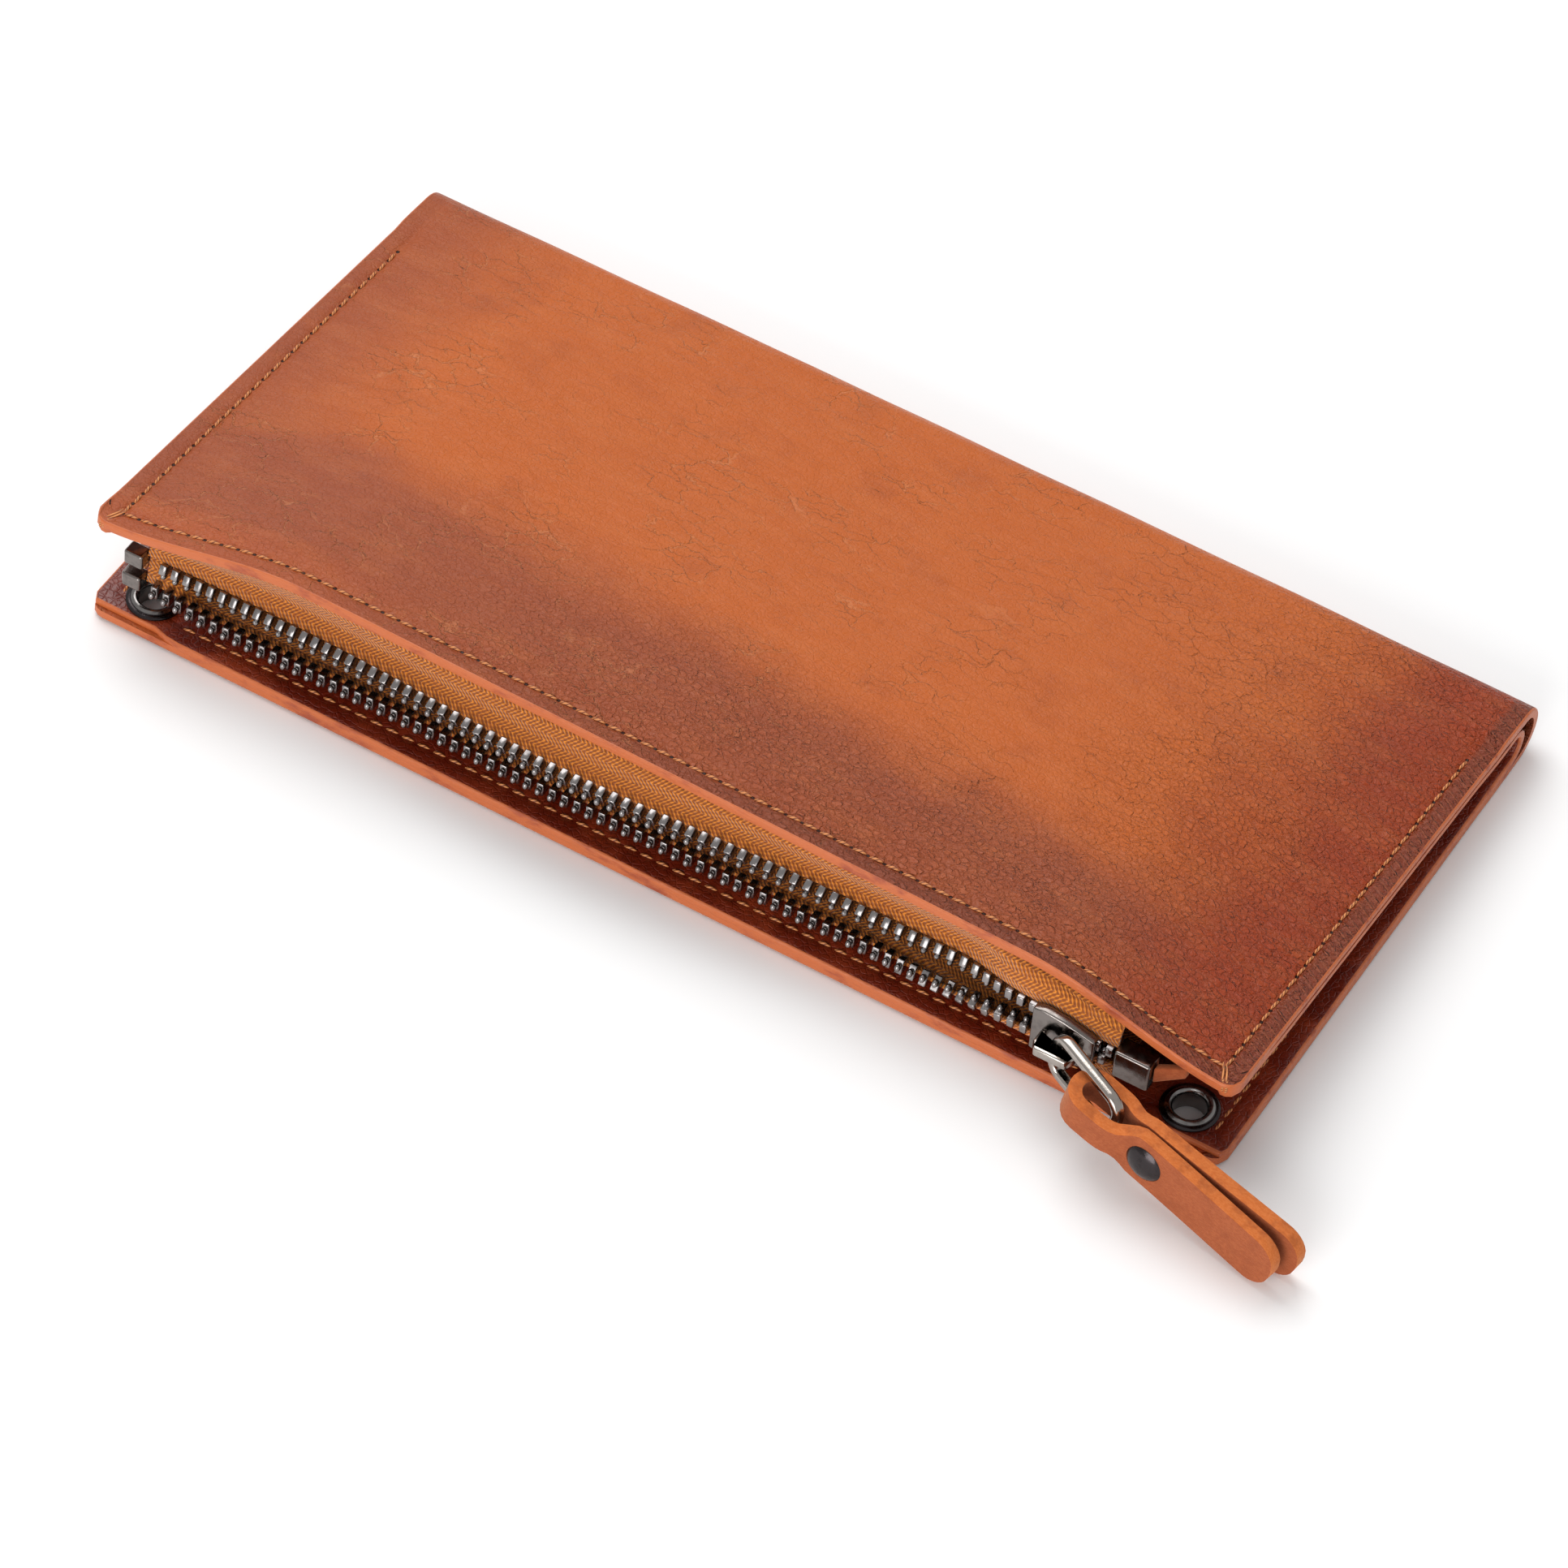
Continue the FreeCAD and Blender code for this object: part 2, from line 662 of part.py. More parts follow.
def lower_tape():
    """Lower tape: sewn on the lining, and running from its lip out and up to the teeth."""
    thick, glue = size("tape_thick"), size("tape_glue")

    def section(x):
        root, way = lower_row(x)
        closed = smooth((x - mouth_x() + 33.0) / 33.0)
        lip_y, lip_z = lining_near(x)
        lip_z += glue
        side = (way[1] * thick / 2, -way[0] * thick / 2)
        knee_closed = (-size("chain_y"), min(lip_z, size("pouch_floor")))
        knee_open = ((lip_y + root[0]) / 2, (lip_z + thick / 2 + root[1]) / 2)
        knee = tuple(o + closed * (c - o) for o, c in zip(knee_open, knee_closed))
        return [
            (-36.3, lining_height(x, -36.3) + glue), (lip_y, lip_z),
            (knee[0] - side[0] * closed, knee[1] - thick / 2), (root[0] - side[0], root[1] - side[1]),
            (root[0] + side[0], root[1] + side[1]), (knee[0] + side[0] * closed, knee[1] + thick / 2),
            (lip_y + 0.1, lip_z + thick), (-36.3, lining_height(x, -36.3) + glue + thick),
        ]

    return keep(lofted("LowerTape", tape_stations(), section), "zip_tape_lower")


def tooth_shape():
    """One tooth: a clamp that grips the tape's edge, and a narrower head. It points along -Z."""
    width, length, thick = size("tooth_width"), size("tooth_length"), size("tooth_thick")
    clamp = Part.makeBox(width, thick, length * 0.62, Vector(-width / 2, -thick / 2, -length * 0.62))
    head = Part.makeBox(width * 0.9, thick * 0.6, length * 0.4,
                        Vector(-width * 0.45, -thick * 0.3, -length))
    return clamp.fuse(head)


def teeth_row(name, label, row, shift):
    """A row of teeth as separate solids, each at its own place and slant along the tape."""
    shape, gap = tooth_shape(), size("tooth_gap")
    row_of = []
    for i in range(TEETH):
        x = size("first_tooth") - shift - i * size("tooth_pitch")
        (y, z), (out, up) = row(x)
        tooth = shape.copy()
        slant = math.degrees(math.atan2(-out, -up))
        start = Vector(x, y + gap * out, z + gap * up)
        tooth.Placement = Placement(start, Rotation(Vector(1, 0, 0), -slant))
        row_of.append(tooth)
    feature = doc.addObject("Part::Feature", name)
    feature.Shape = Part.makeCompound(row_of)
    return keep(feature, label)


def block(name, label, length, width, height, middle):
    """Small rounded block centred on a point."""
    box = bind(doc.addObject("Part::Box", name + "Block"), Length=length, Width=width, Height=height)
    doc.recompute()
    fillet = doc.addObject("Part::Fillet", name)
    fillet.Base = box
    fillet.Edges = [(i, 0.45, 0.45) for i in range(1, 13)]
    half = Vector(box.Length.Value / 2, box.Width.Value / 2, box.Height.Value / 2)
    fillet.Placement = Placement(Vector(*middle) - half, Rotation())
    return keep(fillet, label)


def zip_ends():
    """Top stops at the open end, the box at the closed end, and the tab that turns the tape ends in."""
    stop_x = -size("tape_start") - size("stop_length") / 2 - 0.1
    block("UpperStop", "zip_top_stop_upper", "stop_length", "2.6", "2.8", (stop_x, -45.0, 13.0))
    block("LowerStop", "zip_top_stop_lower", "stop_length", "2.6", "2.8", (stop_x, -45.6, 8.9))
    box_x = size("tape_end") + size("end_box_length") / 2 + 0.05
    block("EndBox", "zip_end_box", "end_box_length", "3.4", "5.2",
          (box_x, -size("chain_y"), size("chain_height")))

    def tab(x):
        share = (x - 82.5) / 4.5
        y, z = -47.9 + 1.2 * share, 10.6 + 2.6 * share
        return [(y, z), (y + 1.4, z), (y + 1.4, z + 3.0 - share), (y, z + 3.0 - share)]

    keep(lofted("EndTab", (82.5, 84.7, 87.0), tab), "zip_end_tab")


# ---------------------------------------------------------------- slider, ring and strap


def slider_middle():
    return Vector(size("slider_x"), -size("chain_y"), size("chain_height"))


def slider_body():
    """Cast slider: a post between two shield-shaped plates, with lips that guide the rows."""
    half = size("slider_half")
    shield = [
        (-half, 4.2), (-3.2, 4.6), (0, 4.2), (half, 2.9), (half, -2.9), (0, -4.2), (-3.2, -4.6), (-half, -4.2),
    ]
    post = [(-half, 0.6), (-3.6, 0.65), (-1.4, 0.0), (-3.6, -0.65), (-half, -0.6)]
    lip = [(-half, 4.2), (-3.2, 4.6), (0, 4.2), (half, 2.9), (half, 2.25), (0, 3.55), (-3.2, 3.95), (-half, 3.55)]
    body = new_body("Slider")
    pad(body, sketch_on(body, "XZ_Plane", "PostOutline", polygon(post)), "Post", "slider_channel * 2", True)
    for way, tag in ((1, "Front"), (-1, "Rear")):
        near = way * size("slider_channel")
        plate = sketch_on(body, "XZ_Plane", f"{tag}Shield", polygon(shield), near)
        pad(body, plate, f"{tag}Plate", "slider_plate", away=way < 0)
        for rise, edge in ((1, "Upper"), (-1, "Lower")):
            outline = polygon([(x, rise * z) for x, z in lip])
            strip = sketch_on(body, "XZ_Plane", f"{tag}{edge}Strip", outline, near)
            pad(body, strip, f"{tag}{edge}Lip", "slider_lip", away=way > 0)
    body.Placement = Placement(slider_middle(), Rotation())
    return keep(body, "slider_body")


def slider_crown():
    """Bridge on the slider's front plate that holds the pull ring."""
    span, thick = size("crown_span"), size("crown_thick")
    foot = -size("slider_channel") - size("slider_plate")
    inner = foot - size("crown_clear")
    outline = [
        (-span - thick, foot), (-span - thick, inner + 0.6), (-span, inner - thick), (span, inner - thick),
        (span + thick, inner + 0.6), (span + thick, foot), (span, foot), (span, inner), (-span, inner), (-span, foot),
    ]
    body = new_body("Crown")
    pad(body, sketch_on(body, "XY_Plane", "CrownOutline", polygon(outline)), "CrownPad", "crown_width", True)
    body.Placement = Placement(slider_middle(), Rotation())
    return keep(body, "slider_crown")


def ring_place():
    """Where the ring's first bar sits in the crown, and how the ring points."""
    pivot = slider_middle() - Vector(0, size("pivot_reach"), 0)
    return Placement(pivot, Rotation(size("ring_yaw"), size("pull_pitch"), 0))


def strap_place():
    """The ring's far bar, and how the strap points from it."""
    far_bar = ring_place().multVec(Vector(size("ring_length"), 0, 0))
    return Placement(far_bar, Rotation(size("strap_yaw"), size("strap_pitch"), 0))


def pull_ring():
    """Flat-bar ring with round corners."""
    bar, inner = size("ring_bar"), size("ring_inner_half")
    length, turn = size("ring_length"), size("ring_inner_round")
    outer = rounded_box(-bar / 2, length + bar / 2, -inner - bar, inner + bar, turn + bar)
    hole = rounded_box(bar / 2, length - bar / 2, -inner, inner, turn)
    body = new_body("Ring")
    pad(body, sketch_on(body, "XZ_Plane", "RingOutline", outer + hole), "RingPad", "ring_thick", True)
    body.Placement = ring_place()
    return keep(body, "pull_ring")


def pull_strap():
    """Strip of leather folded round the ring's far bar, its two legs riveted together behind it."""
    skin, inner, back = size("strap_leather"), size("loop_inner"), size("loop_back")
    near, far, gap = size("near_leg"), size("far_leg"), size("leg_gap") / 2
    line = lambda a, b: Part.LineSegment(Vector(a[0], a[1], 0), Vector(b[0], b[1], 0))

    def leg(side, end):
        outside = [(-back, inner + skin), (1.0, inner + skin - 0.2), (3.9, skin + 0.15), (14.0, skin + 0.35),
                   (end, gap + skin)]
        inside = [(end, gap), (14.0, 0.35), (3.6, 0.12), (0.8, inner - 0.15), (-back, inner)]
        route = [(x, side * y) for x, y in outside + inside]
        return [line(a, b) for a, b in zip(route, route[1:])]

    bend = [arc((-back, 0), inner + skin, 90, 270), arc((-back, 0), inner, 90, 270)]
    body = new_body("Strap")
    outline = leg(1, far) + leg(-1, near) + bend
    pad(body, sketch_on(body, "XY_Plane", "StrapOutline", outline), "StrapPad", "strap_width", True)
    reach, neck, wide = back + inner + skin + 1, size("strap_neck") / 2, size("strap_width") / 2 + 1
    for side, tag in ((1, "Upper"), (-1, "Lower")):
        shape = polygon([(-reach, side * neck), (2.0, side * neck), (5.0, side * wide), (-reach, side * wide)])
        cut_through(body, sketch_on(body, "XZ_Plane", f"{tag}Neck", shape), f"{tag}NeckCut")
    hole = [Part.Circle(Vector(size("rivet_x"), 0, 0), Vector(0, 0, 1), size("rivet_shank") + 0.02)]
    cut_through(body, sketch_on(body, "XZ_Plane", "RivetHole", hole), "RivetHoleCut")

    def tip(edge):
        box = edge.BoundBox
        return box.XLength < 1e-3 and box.ZLength < 1e-3 and box.XMin > near - 0.1

    round_edges(body, "StrapTips", tip, "tip_radius")
    body.Placement = strap_place()
    return keep(body, "pull_strap")


def strap_rivet():
    """Domed rivet cap on the near leg, and the post with its head on the far leg."""
    shank, head, leather = size("rivet_shank"), size("rivet_head"), size("strap_leather") + 0.28
    cap = [(0, leather), (head, leather), (head - 0.3, leather + 0.35), (head * 0.55, leather + 0.75), (0, leather + 0.9)]
    post = [(0, leather - 0.02), (shank, leather - 0.02), (shank, -leather), (head - 0.2, -leather),
            (head - 0.5, -leather - 0.5), (0, -leather - 0.6)]
    for name, label, profile in (("RivetCap", "rivet_cap", cap), ("RivetPost", "rivet_post", post)):
        body = new_body(name)
        turned = body.newObject("PartDesign::Revolution", name + "Turned")
        turned.Profile = sketch_on(body, "XZ_Plane", name + "Profile", polygon(profile))
        turned.ReferenceAxis = (next(f for f in body.Origin.OriginFeatures if f.Role == "Z_Axis"), [""])
        turned.Angle = 360
        at = strap_place().multVec(Vector(size("rivet_x"), 0, 0))
        body.Placement = Placement(at, strap_place().Rotation.multiply(Rotation(Vector(1, 0, 0), 90)))
        keep(body, label)


# ---------------------------------------------------------------- build, check and write


def build():
    """Make every sub-part, in the order the wallet is put together."""
    outer_cover_back()
    inner_lining_back()
    card_pockets()
    back_seams()
    eyelets()
    outer_cover_front()
    inner_lining_front()
    pouch_cloths()
    front_seam()
    upper_tape()
    lower_tape()
    teeth_row("UpperTeeth", "zip_teeth_upper", upper_row, 0.0)
    teeth_row("LowerTeeth", "zip_teeth_lower", lower_row, size("tooth_pitch") / 2)
    zip_ends()
    slider_body()
    slider_crown()
    pull_ring()
    pull_strap()
    strap_rivet()


def write():
    """Check the document and every sub-part, then write one STEP file for each."""
    doc.recompute()
    failed = [o.Name for o in doc.Objects if {"Invalid", "Error"} & set(o.State)]
    failed += [o.Label for o in nodes if o.Shape.isNull() or not o.Shape.isValid()]
    if failed:
        raise RuntimeError(f"failed: {failed}")
    os.makedirs("parts", exist_ok=True)
    for node in nodes:
        node.Shape.exportStep(f"parts/{node.Label}.step")
        box = node.Shape.BoundBox
        print(f"{node.Label:24s} {len(node.Shape.Solids):3d} solids {node.Shape.Volume:9.1f} mm3 "
              f"x {box.XMin:7.2f} {box.XMax:7.2f}  y {box.YMin:7.2f} {box.YMax:7.2f}  z {box.ZMin:6.2f} {box.ZMax:6.2f}")


build()
write()
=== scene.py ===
"""Travel wallet in burnished leather: looks built round the fixed frame, in metres, sizes written in millimetres."""

import json
import logging
import math
from contextlib import contextmanager
from dataclasses import dataclass
from enum import Enum
from typing import Callable, Iterator, Sequence

import bpy
import numpy as np
from mathutils import Euler, Matrix, Vector, noise

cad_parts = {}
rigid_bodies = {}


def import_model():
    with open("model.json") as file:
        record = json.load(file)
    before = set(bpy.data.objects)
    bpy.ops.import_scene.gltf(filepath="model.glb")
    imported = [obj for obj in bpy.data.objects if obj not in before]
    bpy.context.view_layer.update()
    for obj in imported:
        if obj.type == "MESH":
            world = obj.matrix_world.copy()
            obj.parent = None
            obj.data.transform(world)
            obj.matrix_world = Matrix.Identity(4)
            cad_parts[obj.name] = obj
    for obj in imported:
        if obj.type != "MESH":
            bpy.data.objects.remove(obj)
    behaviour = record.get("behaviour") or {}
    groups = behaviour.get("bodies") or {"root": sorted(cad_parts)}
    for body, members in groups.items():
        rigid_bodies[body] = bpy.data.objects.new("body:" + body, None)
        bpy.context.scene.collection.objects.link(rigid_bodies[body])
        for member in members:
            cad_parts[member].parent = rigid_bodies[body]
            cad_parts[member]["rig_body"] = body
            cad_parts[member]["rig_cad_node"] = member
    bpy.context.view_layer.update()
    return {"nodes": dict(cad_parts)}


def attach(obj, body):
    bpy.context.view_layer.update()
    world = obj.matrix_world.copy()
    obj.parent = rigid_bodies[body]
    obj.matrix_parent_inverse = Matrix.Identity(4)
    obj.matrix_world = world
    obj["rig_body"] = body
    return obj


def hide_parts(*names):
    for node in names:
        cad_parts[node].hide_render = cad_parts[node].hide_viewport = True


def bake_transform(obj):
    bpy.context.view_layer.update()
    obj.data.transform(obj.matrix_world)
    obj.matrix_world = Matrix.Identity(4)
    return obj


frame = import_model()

log = logging.getLogger("wallet")
MM = 0.001
Point = tuple[float, float, float]
Pair = tuple[float, float]


# ------------------------------------------------------------------ plain maths


def smooth(share: float) -> float:
    """Rise from 0 to 1 with level ends.

    Args:
        share: position along the rise.
    Returns:
        The height there, held at 0 and 1 outside.
    """
    share = min(1.0, max(0.0, share))
    return share * share * (3.0 - 2.0 * share)


def mix(a: Sequence[float], b: Sequence[float], share: float) -> tuple[float, ...]:
    """Point between a and b.

    Args:
        a: first point.
        b: second point.
        share: 0 at a, 1 at b.
    Returns:
        The point.
    """
    return tuple(p + share * (q - p) for p, q in zip(a, b))


def tint(red: int, green: int, blue: int) -> tuple[float, float, float, float]:
    """Colour from display values.

    Args:
        red: 0 to 255.
        green: 0 to 255.
        blue: 0 to 255.
    Returns:
        Linear colour with alpha 1.
    """
    linear = [(c / 255) / 12.92 if c <= 10 else ((c / 255 + 0.055) / 1.055) ** 2.4 for c in (red, green, blue)]
    return (*linear, 1.0)


# ------------------------------------------------------------------ modelling helpers


def choose(*objects: bpy.types.Object) -> None:
    """Select only these objects, the first one active.

    Args:
        objects: what to select.
    """
    bpy.ops.object.select_all(action="DESELECT")
    for one in objects:
        one.select_set(True)
    bpy.context.view_layer.objects.active = objects[0]


@contextmanager
def editing(piece: bpy.types.Object, mode: str = "VERT") -> Iterator[None]:
    """Edit mode on one piece, with nothing selected at first.

    Args:
        piece: the piece to edit.
        mode: VERT, EDGE or FACE selection.
    Returns:
        The block to work in: the piece is back in object mode there, with the selection mode set.
    """
    choose(piece)
    bpy.ops.object.mode_set(mode="EDIT")
    bpy.ops.mesh.select_mode(type=mode)
    bpy.ops.mesh.select_all(action="DESELECT")
    bpy.ops.object.mode_set(mode="OBJECT")
    yield
    bpy.ops.object.mode_set(mode="OBJECT")


def apply(piece: bpy.types.Object, kind: str, **settings: object) -> None:
    """Add a modifier to a piece and apply it.

    Args:
        piece: the piece.
        kind: the modifier's type.
        settings: its properties.
    """
    choose(piece)
    modifier = piece.modifiers.new(kind.title(), kind)
    for name, value in settings.items():
        setattr(modifier, name, value)
    bpy.ops.object.modifier_apply(modifier=modifier.name)


def soften(piece: bpy.types.Object, angle: float = 35.0) -> None:
    """Smooth shading with sharp edges kept.

    Args:
        piece: the piece.
        angle: edges bent more than this stay sharp, in degrees.
    """
    choose(piece)
    bpy.ops.object.shade_smooth_by_angle(angle=math.radians(angle))


def settle(piece: bpy.types.Object) -> None:
    """Put a piece's place, turn and size into its mesh."""
    choose(piece)
    bpy.ops.object.transform_apply(location=True, rotation=True, scale=True)


def grid_piece(name: str, columns: int, rows: int, place: Callable[[int, int], Point]) -> bpy.types.Object:
    """Sheet made from a grid whose points are laid on a surface; its UV map is the grid's own until lay_uv rewrites it.

    Args:
        name: the piece's name.
        columns: number of points along U.
        rows: number of points along V.
        place: gives the point, in millimetres, for a column and a row.
    Returns:
        The sheet.
    """
    bpy.ops.object.select_all(action="DESELECT")
    bpy.ops.mesh.primitive_grid_add(x_subdivisions=columns - 1, y_subdivisions=rows - 1, size=2.0)
    piece = bpy.context.object
    piece.name = piece.data.name = name
    for vertex in piece.data.vertices:
        column = round((vertex.co.x + 1) / 2 * (columns - 1))
        row = round((vertex.co.y + 1) / 2 * (rows - 1))
        vertex.co = Vector(place(column, row)) * MM
    return piece


def lay_uv(piece: bpy.types.Object, columns: int, rows: int, flat: Callable[[int, int], Pair]) -> None:
    """Write a grid sheet's UV map from its columns and rows, before it gets a thickness.

    Args:
        piece: the sheet.
        columns: number of points along U.
        rows: number of points along V.
        flat: gives the place on the uncut skin, in millimetres, for a column and a row.
    """
    layer = piece.data.uv_layers.active.data
    corners = np.array([[round(c * (n - 1)) for c, n in zip(loop.uv, (columns, rows))] for loop in layer])
    for loop, (column, row) in zip(layer, corners):
        u, v = flat(int(column), int(row))
        loop.uv = (u * MM, v * MM)


def slab(piece: bpy.types.Object, thick: float, outer: float, inner: float, steps: int = 3) -> None:
    """Give a sheet its thickness, with rounded and painted rims.

    Args:
        piece: the sheet, its face on the side to keep.
        thick: thickness in millimetres, away from that face.
        outer: rounding of the rim at the kept face, in millimetres.
        inner: rounding of the rim at the other face.
        steps: faces across each rounding.
    """
    count, rim = len(piece.data.vertices), rim_pairs(piece.data)
    apply(piece, "SOLIDIFY", thickness=thick * MM, offset=-1.0, material_offset_rim=1, use_even_offset=True)
    weights = piece.data.attributes.new("bevel_weight_edge", "FLOAT", "EDGE")
    for edge in piece.data.edges:
        low, high = sorted(edge.vertices)
        if (low, high) in rim:
            weights.data[edge.index].value = 1.0
        elif (low - count, high - count) in rim:
            weights.data[edge.index].value = inner / outer
    apply(piece, "BEVEL", width=outer * MM, segments=steps, limit_method="WEIGHT", material=1, use_clamp_overlap=True)


def rim_pairs(mesh: bpy.types.Mesh) -> set[tuple[int, int]]:
    """Edges of a mesh that have one face only.

    Args:
        mesh: the mesh.
    Returns:
        Their vertex pairs, lower number first.
    """
    seen: dict[tuple[int, int], int] = {}
    for face in mesh.polygons:
        for key in face.edge_keys:
            seen[key] = seen.get(key, 0) + 1
    return {key for key, faces in seen.items() if faces == 1}


def from_node(node: str, name: str, edge: float, steps: int = 2, angle: float = 30.0) -> bpy.types.Object:
    """Piece that starts as a merged copy of a hard CAD node, with its edges rounded over.

    Args:
        node: the CAD node.
        name: the new piece's name.
        edge: rounding in millimetres.
        steps: faces across the rounding.
        angle: edges bent more than this are rounded, in degrees.
    Returns:
        The piece, standing for the node.
    """
    source = frame["nodes"][node]
    choose(source)
    bpy.ops.object.duplicate(linked=False)
    piece = bpy.context.object
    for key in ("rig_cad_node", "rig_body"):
        del piece[key]
    piece.parent = None
    piece.name = piece.data.name = name
    with editing(piece):
        bpy.ops.object.mode_set(mode="EDIT")
        bpy.ops.mesh.select_all(action="SELECT")
        bpy.ops.mesh.remove_doubles(threshold=0.002 * MM)
        bpy.ops.mesh.dissolve_limited(angle_limit=math.radians(2.0))
    apply(piece, "BEVEL", width=edge * MM, segments=steps, limit_method="ANGLE", angle_limit=math.radians(angle),
          harden_normals=False)
    soften(piece)
    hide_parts(node)
    return piece


def scatter(name: str, template: bpy.types.Object, places: Sequence[Matrix]) -> bpy.types.Object:
    """One piece made of copies of a template, each with its own mesh.

    Args:
        name: the piece's name.
        template: the shape to repeat, modelled round the origin; it is used up.
        places: where each copy goes.
    Returns:
        The piece.
    """
    copies = []
    for place in places:
        copy = template.copy()
        copy.data = template.data.copy()
        copy.data.transform(place)
        bpy.context.collection.objects.link(copy)
        copies.append(copy)
    bpy.data.objects.remove(template)
    choose(*copies)
    bpy.ops.object.join()
    piece = bpy.context.object
    piece.name = piece.data.name = name
    return piece


def dress(piece: bpy.types.Object, *materials: bpy.types.Material) -> None:
    """Give a piece its materials, in slot order."""
    piece.data.materials.clear()
    for material in materials:
        piece.data.materials.append(material)


def hand_over(piece: bpy.types.Object, body: str, slot: str, *nodes: str) -> None:
    """Let a finished piece ride on its body and stand for its CAD nodes.

    Args:
        piece: the piece.
        body: the body that it moves with.
        slot: the record's material slot; not used.
        nodes: the CAD nodes that it stands for.
    """
    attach(piece, body)
    if nodes:
        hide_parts(*nodes)
    log.info("%s: %d faces, rides on %s", piece.name, len(piece.data.polygons), body)


# ------------------------------------------------------------------ the wallet's form


@dataclass(frozen=True)
class Form:
    """Sizes and surfaces that the leathers share, in millimetres."""

    half: float = 95.0
    near_back: float = 48.5
    corner: float = 2.5
    cover_thick: float = 1.5
    lining_thick: float = 1.3
    fold_y: float = 44.0
    fold_radius: float = 4.9
    lining_fold_y: float = 41.0
    lining_inner_radius: float = 2.1
    front_near_y: float = 47.7
    front_near_height: float = 18.8
    front_twist: float = -1.6
    front_arch: float = 4.0
    arch_run: float = 35.0
    lip_y: float = 43.2
    lip_run: float = 4.0
    pouch_floor: float = 6.9
    pouch_run: float = 13.0
    sewn_margin: float = 3.5
    dome: float = 0.9
    seam_inset: float = 3.3
    eyelet_x: float = 86.8
    eyelet_y: float = 42.9

    def pull(self, x: float) -> float:
        """How far a round near corner draws the edge in at x."""
        inside = self.half - abs(x)
        if inside >= self.corner:
            return 0.0
        return self.corner - math.sqrt(max(0.0, self.corner**2 - (self.corner - inside) ** 2))

    def cover_edge(self, x: float) -> Pair:
        """Near edge of the front cover: its y and the height of its outer face at x."""
        arch = self.front_arch * smooth((self.half - abs(x)) / self.arch_run)
        height = self.front_near_height + self.front_twist * x / self.half + arch
        return -self.front_near_y + 0.55 * arch, height

    def lean(self, x: float) -> float:
        """Slope of the front cover.

        Args:
            x: place along the wallet.
        Returns:
            The slope as an angle, in radians.
        """
        y, z = self.cover_edge(x)
        angle = 0.1
        for _ in range(3):
            top_y = self.fold_y + self.fold_radius * math.sin(angle)
            top_z = self.fold_radius * (1 + math.cos(angle))
            angle = math.atan2(z - top_z, top_y - y)
        return angle

    def cover_height(self, x: float, y: float, depth: float = 0.0) -> float:
        """Height at x and y of the face that lies depth under the front cover's outer face."""
        edge_y, edge_z = self.cover_edge(x)
        angle = self.lean(x)
        swell = self.swell(x, (y - edge_y) / (self.fold_y - edge_y))
        return edge_z + swell - (y - edge_y) * math.tan(angle) - depth / math.cos(angle)

    def swell(self, x: float, share: float) -> float:
        """How far the front cover is domed at x, and at a share of the way from near edge to fold."""
        share = min(1.0, max(0.0, share))
        across = 1 - (x / self.half) ** 4
        wave = 0.25 * math.sin(x / 21.0 + 1.3) * math.sin(share * 5.1 + 0.4)
        return (self.dome * math.sin(math.pi * share) + wave * math.sin(math.pi * share)) * across

    def lining_edge(self, x: float) -> Pair:
        """Near edge of the front lining.

        Args:
            x: place along the wallet.
        Returns:
            Its y, and the height of its upper face.
        """
        inside = self.half - abs(x)
        back = smooth((inside - 2.0) / self.lip_run)
        dip = smooth((inside - self.sewn_margin) / self.pouch_run)
        cover_y, _ = self.cover_edge(x)
        lip = cover_y + back * (-self.lip_y - cover_y)
        top = self.cover_height(x, lip, self.cover_thick + 0.03)
        return lip, top + dip * (self.pouch_floor - top)

    def lining_height(self, x: float, y: float) -> float:
        """Height of the front lining's upper face at x and y."""
        edge_y, edge_z = self.lining_edge(x)
        fold_z = self.cover_height(x, self.lining_fold_y, self.cover_thick) - 0.1
        return edge_z + (fold_z - edge_z) * (y - edge_y) / (self.lining_fold_y - edge_y)


FORM = Form()


# ------------------------------------------------------------------ materials


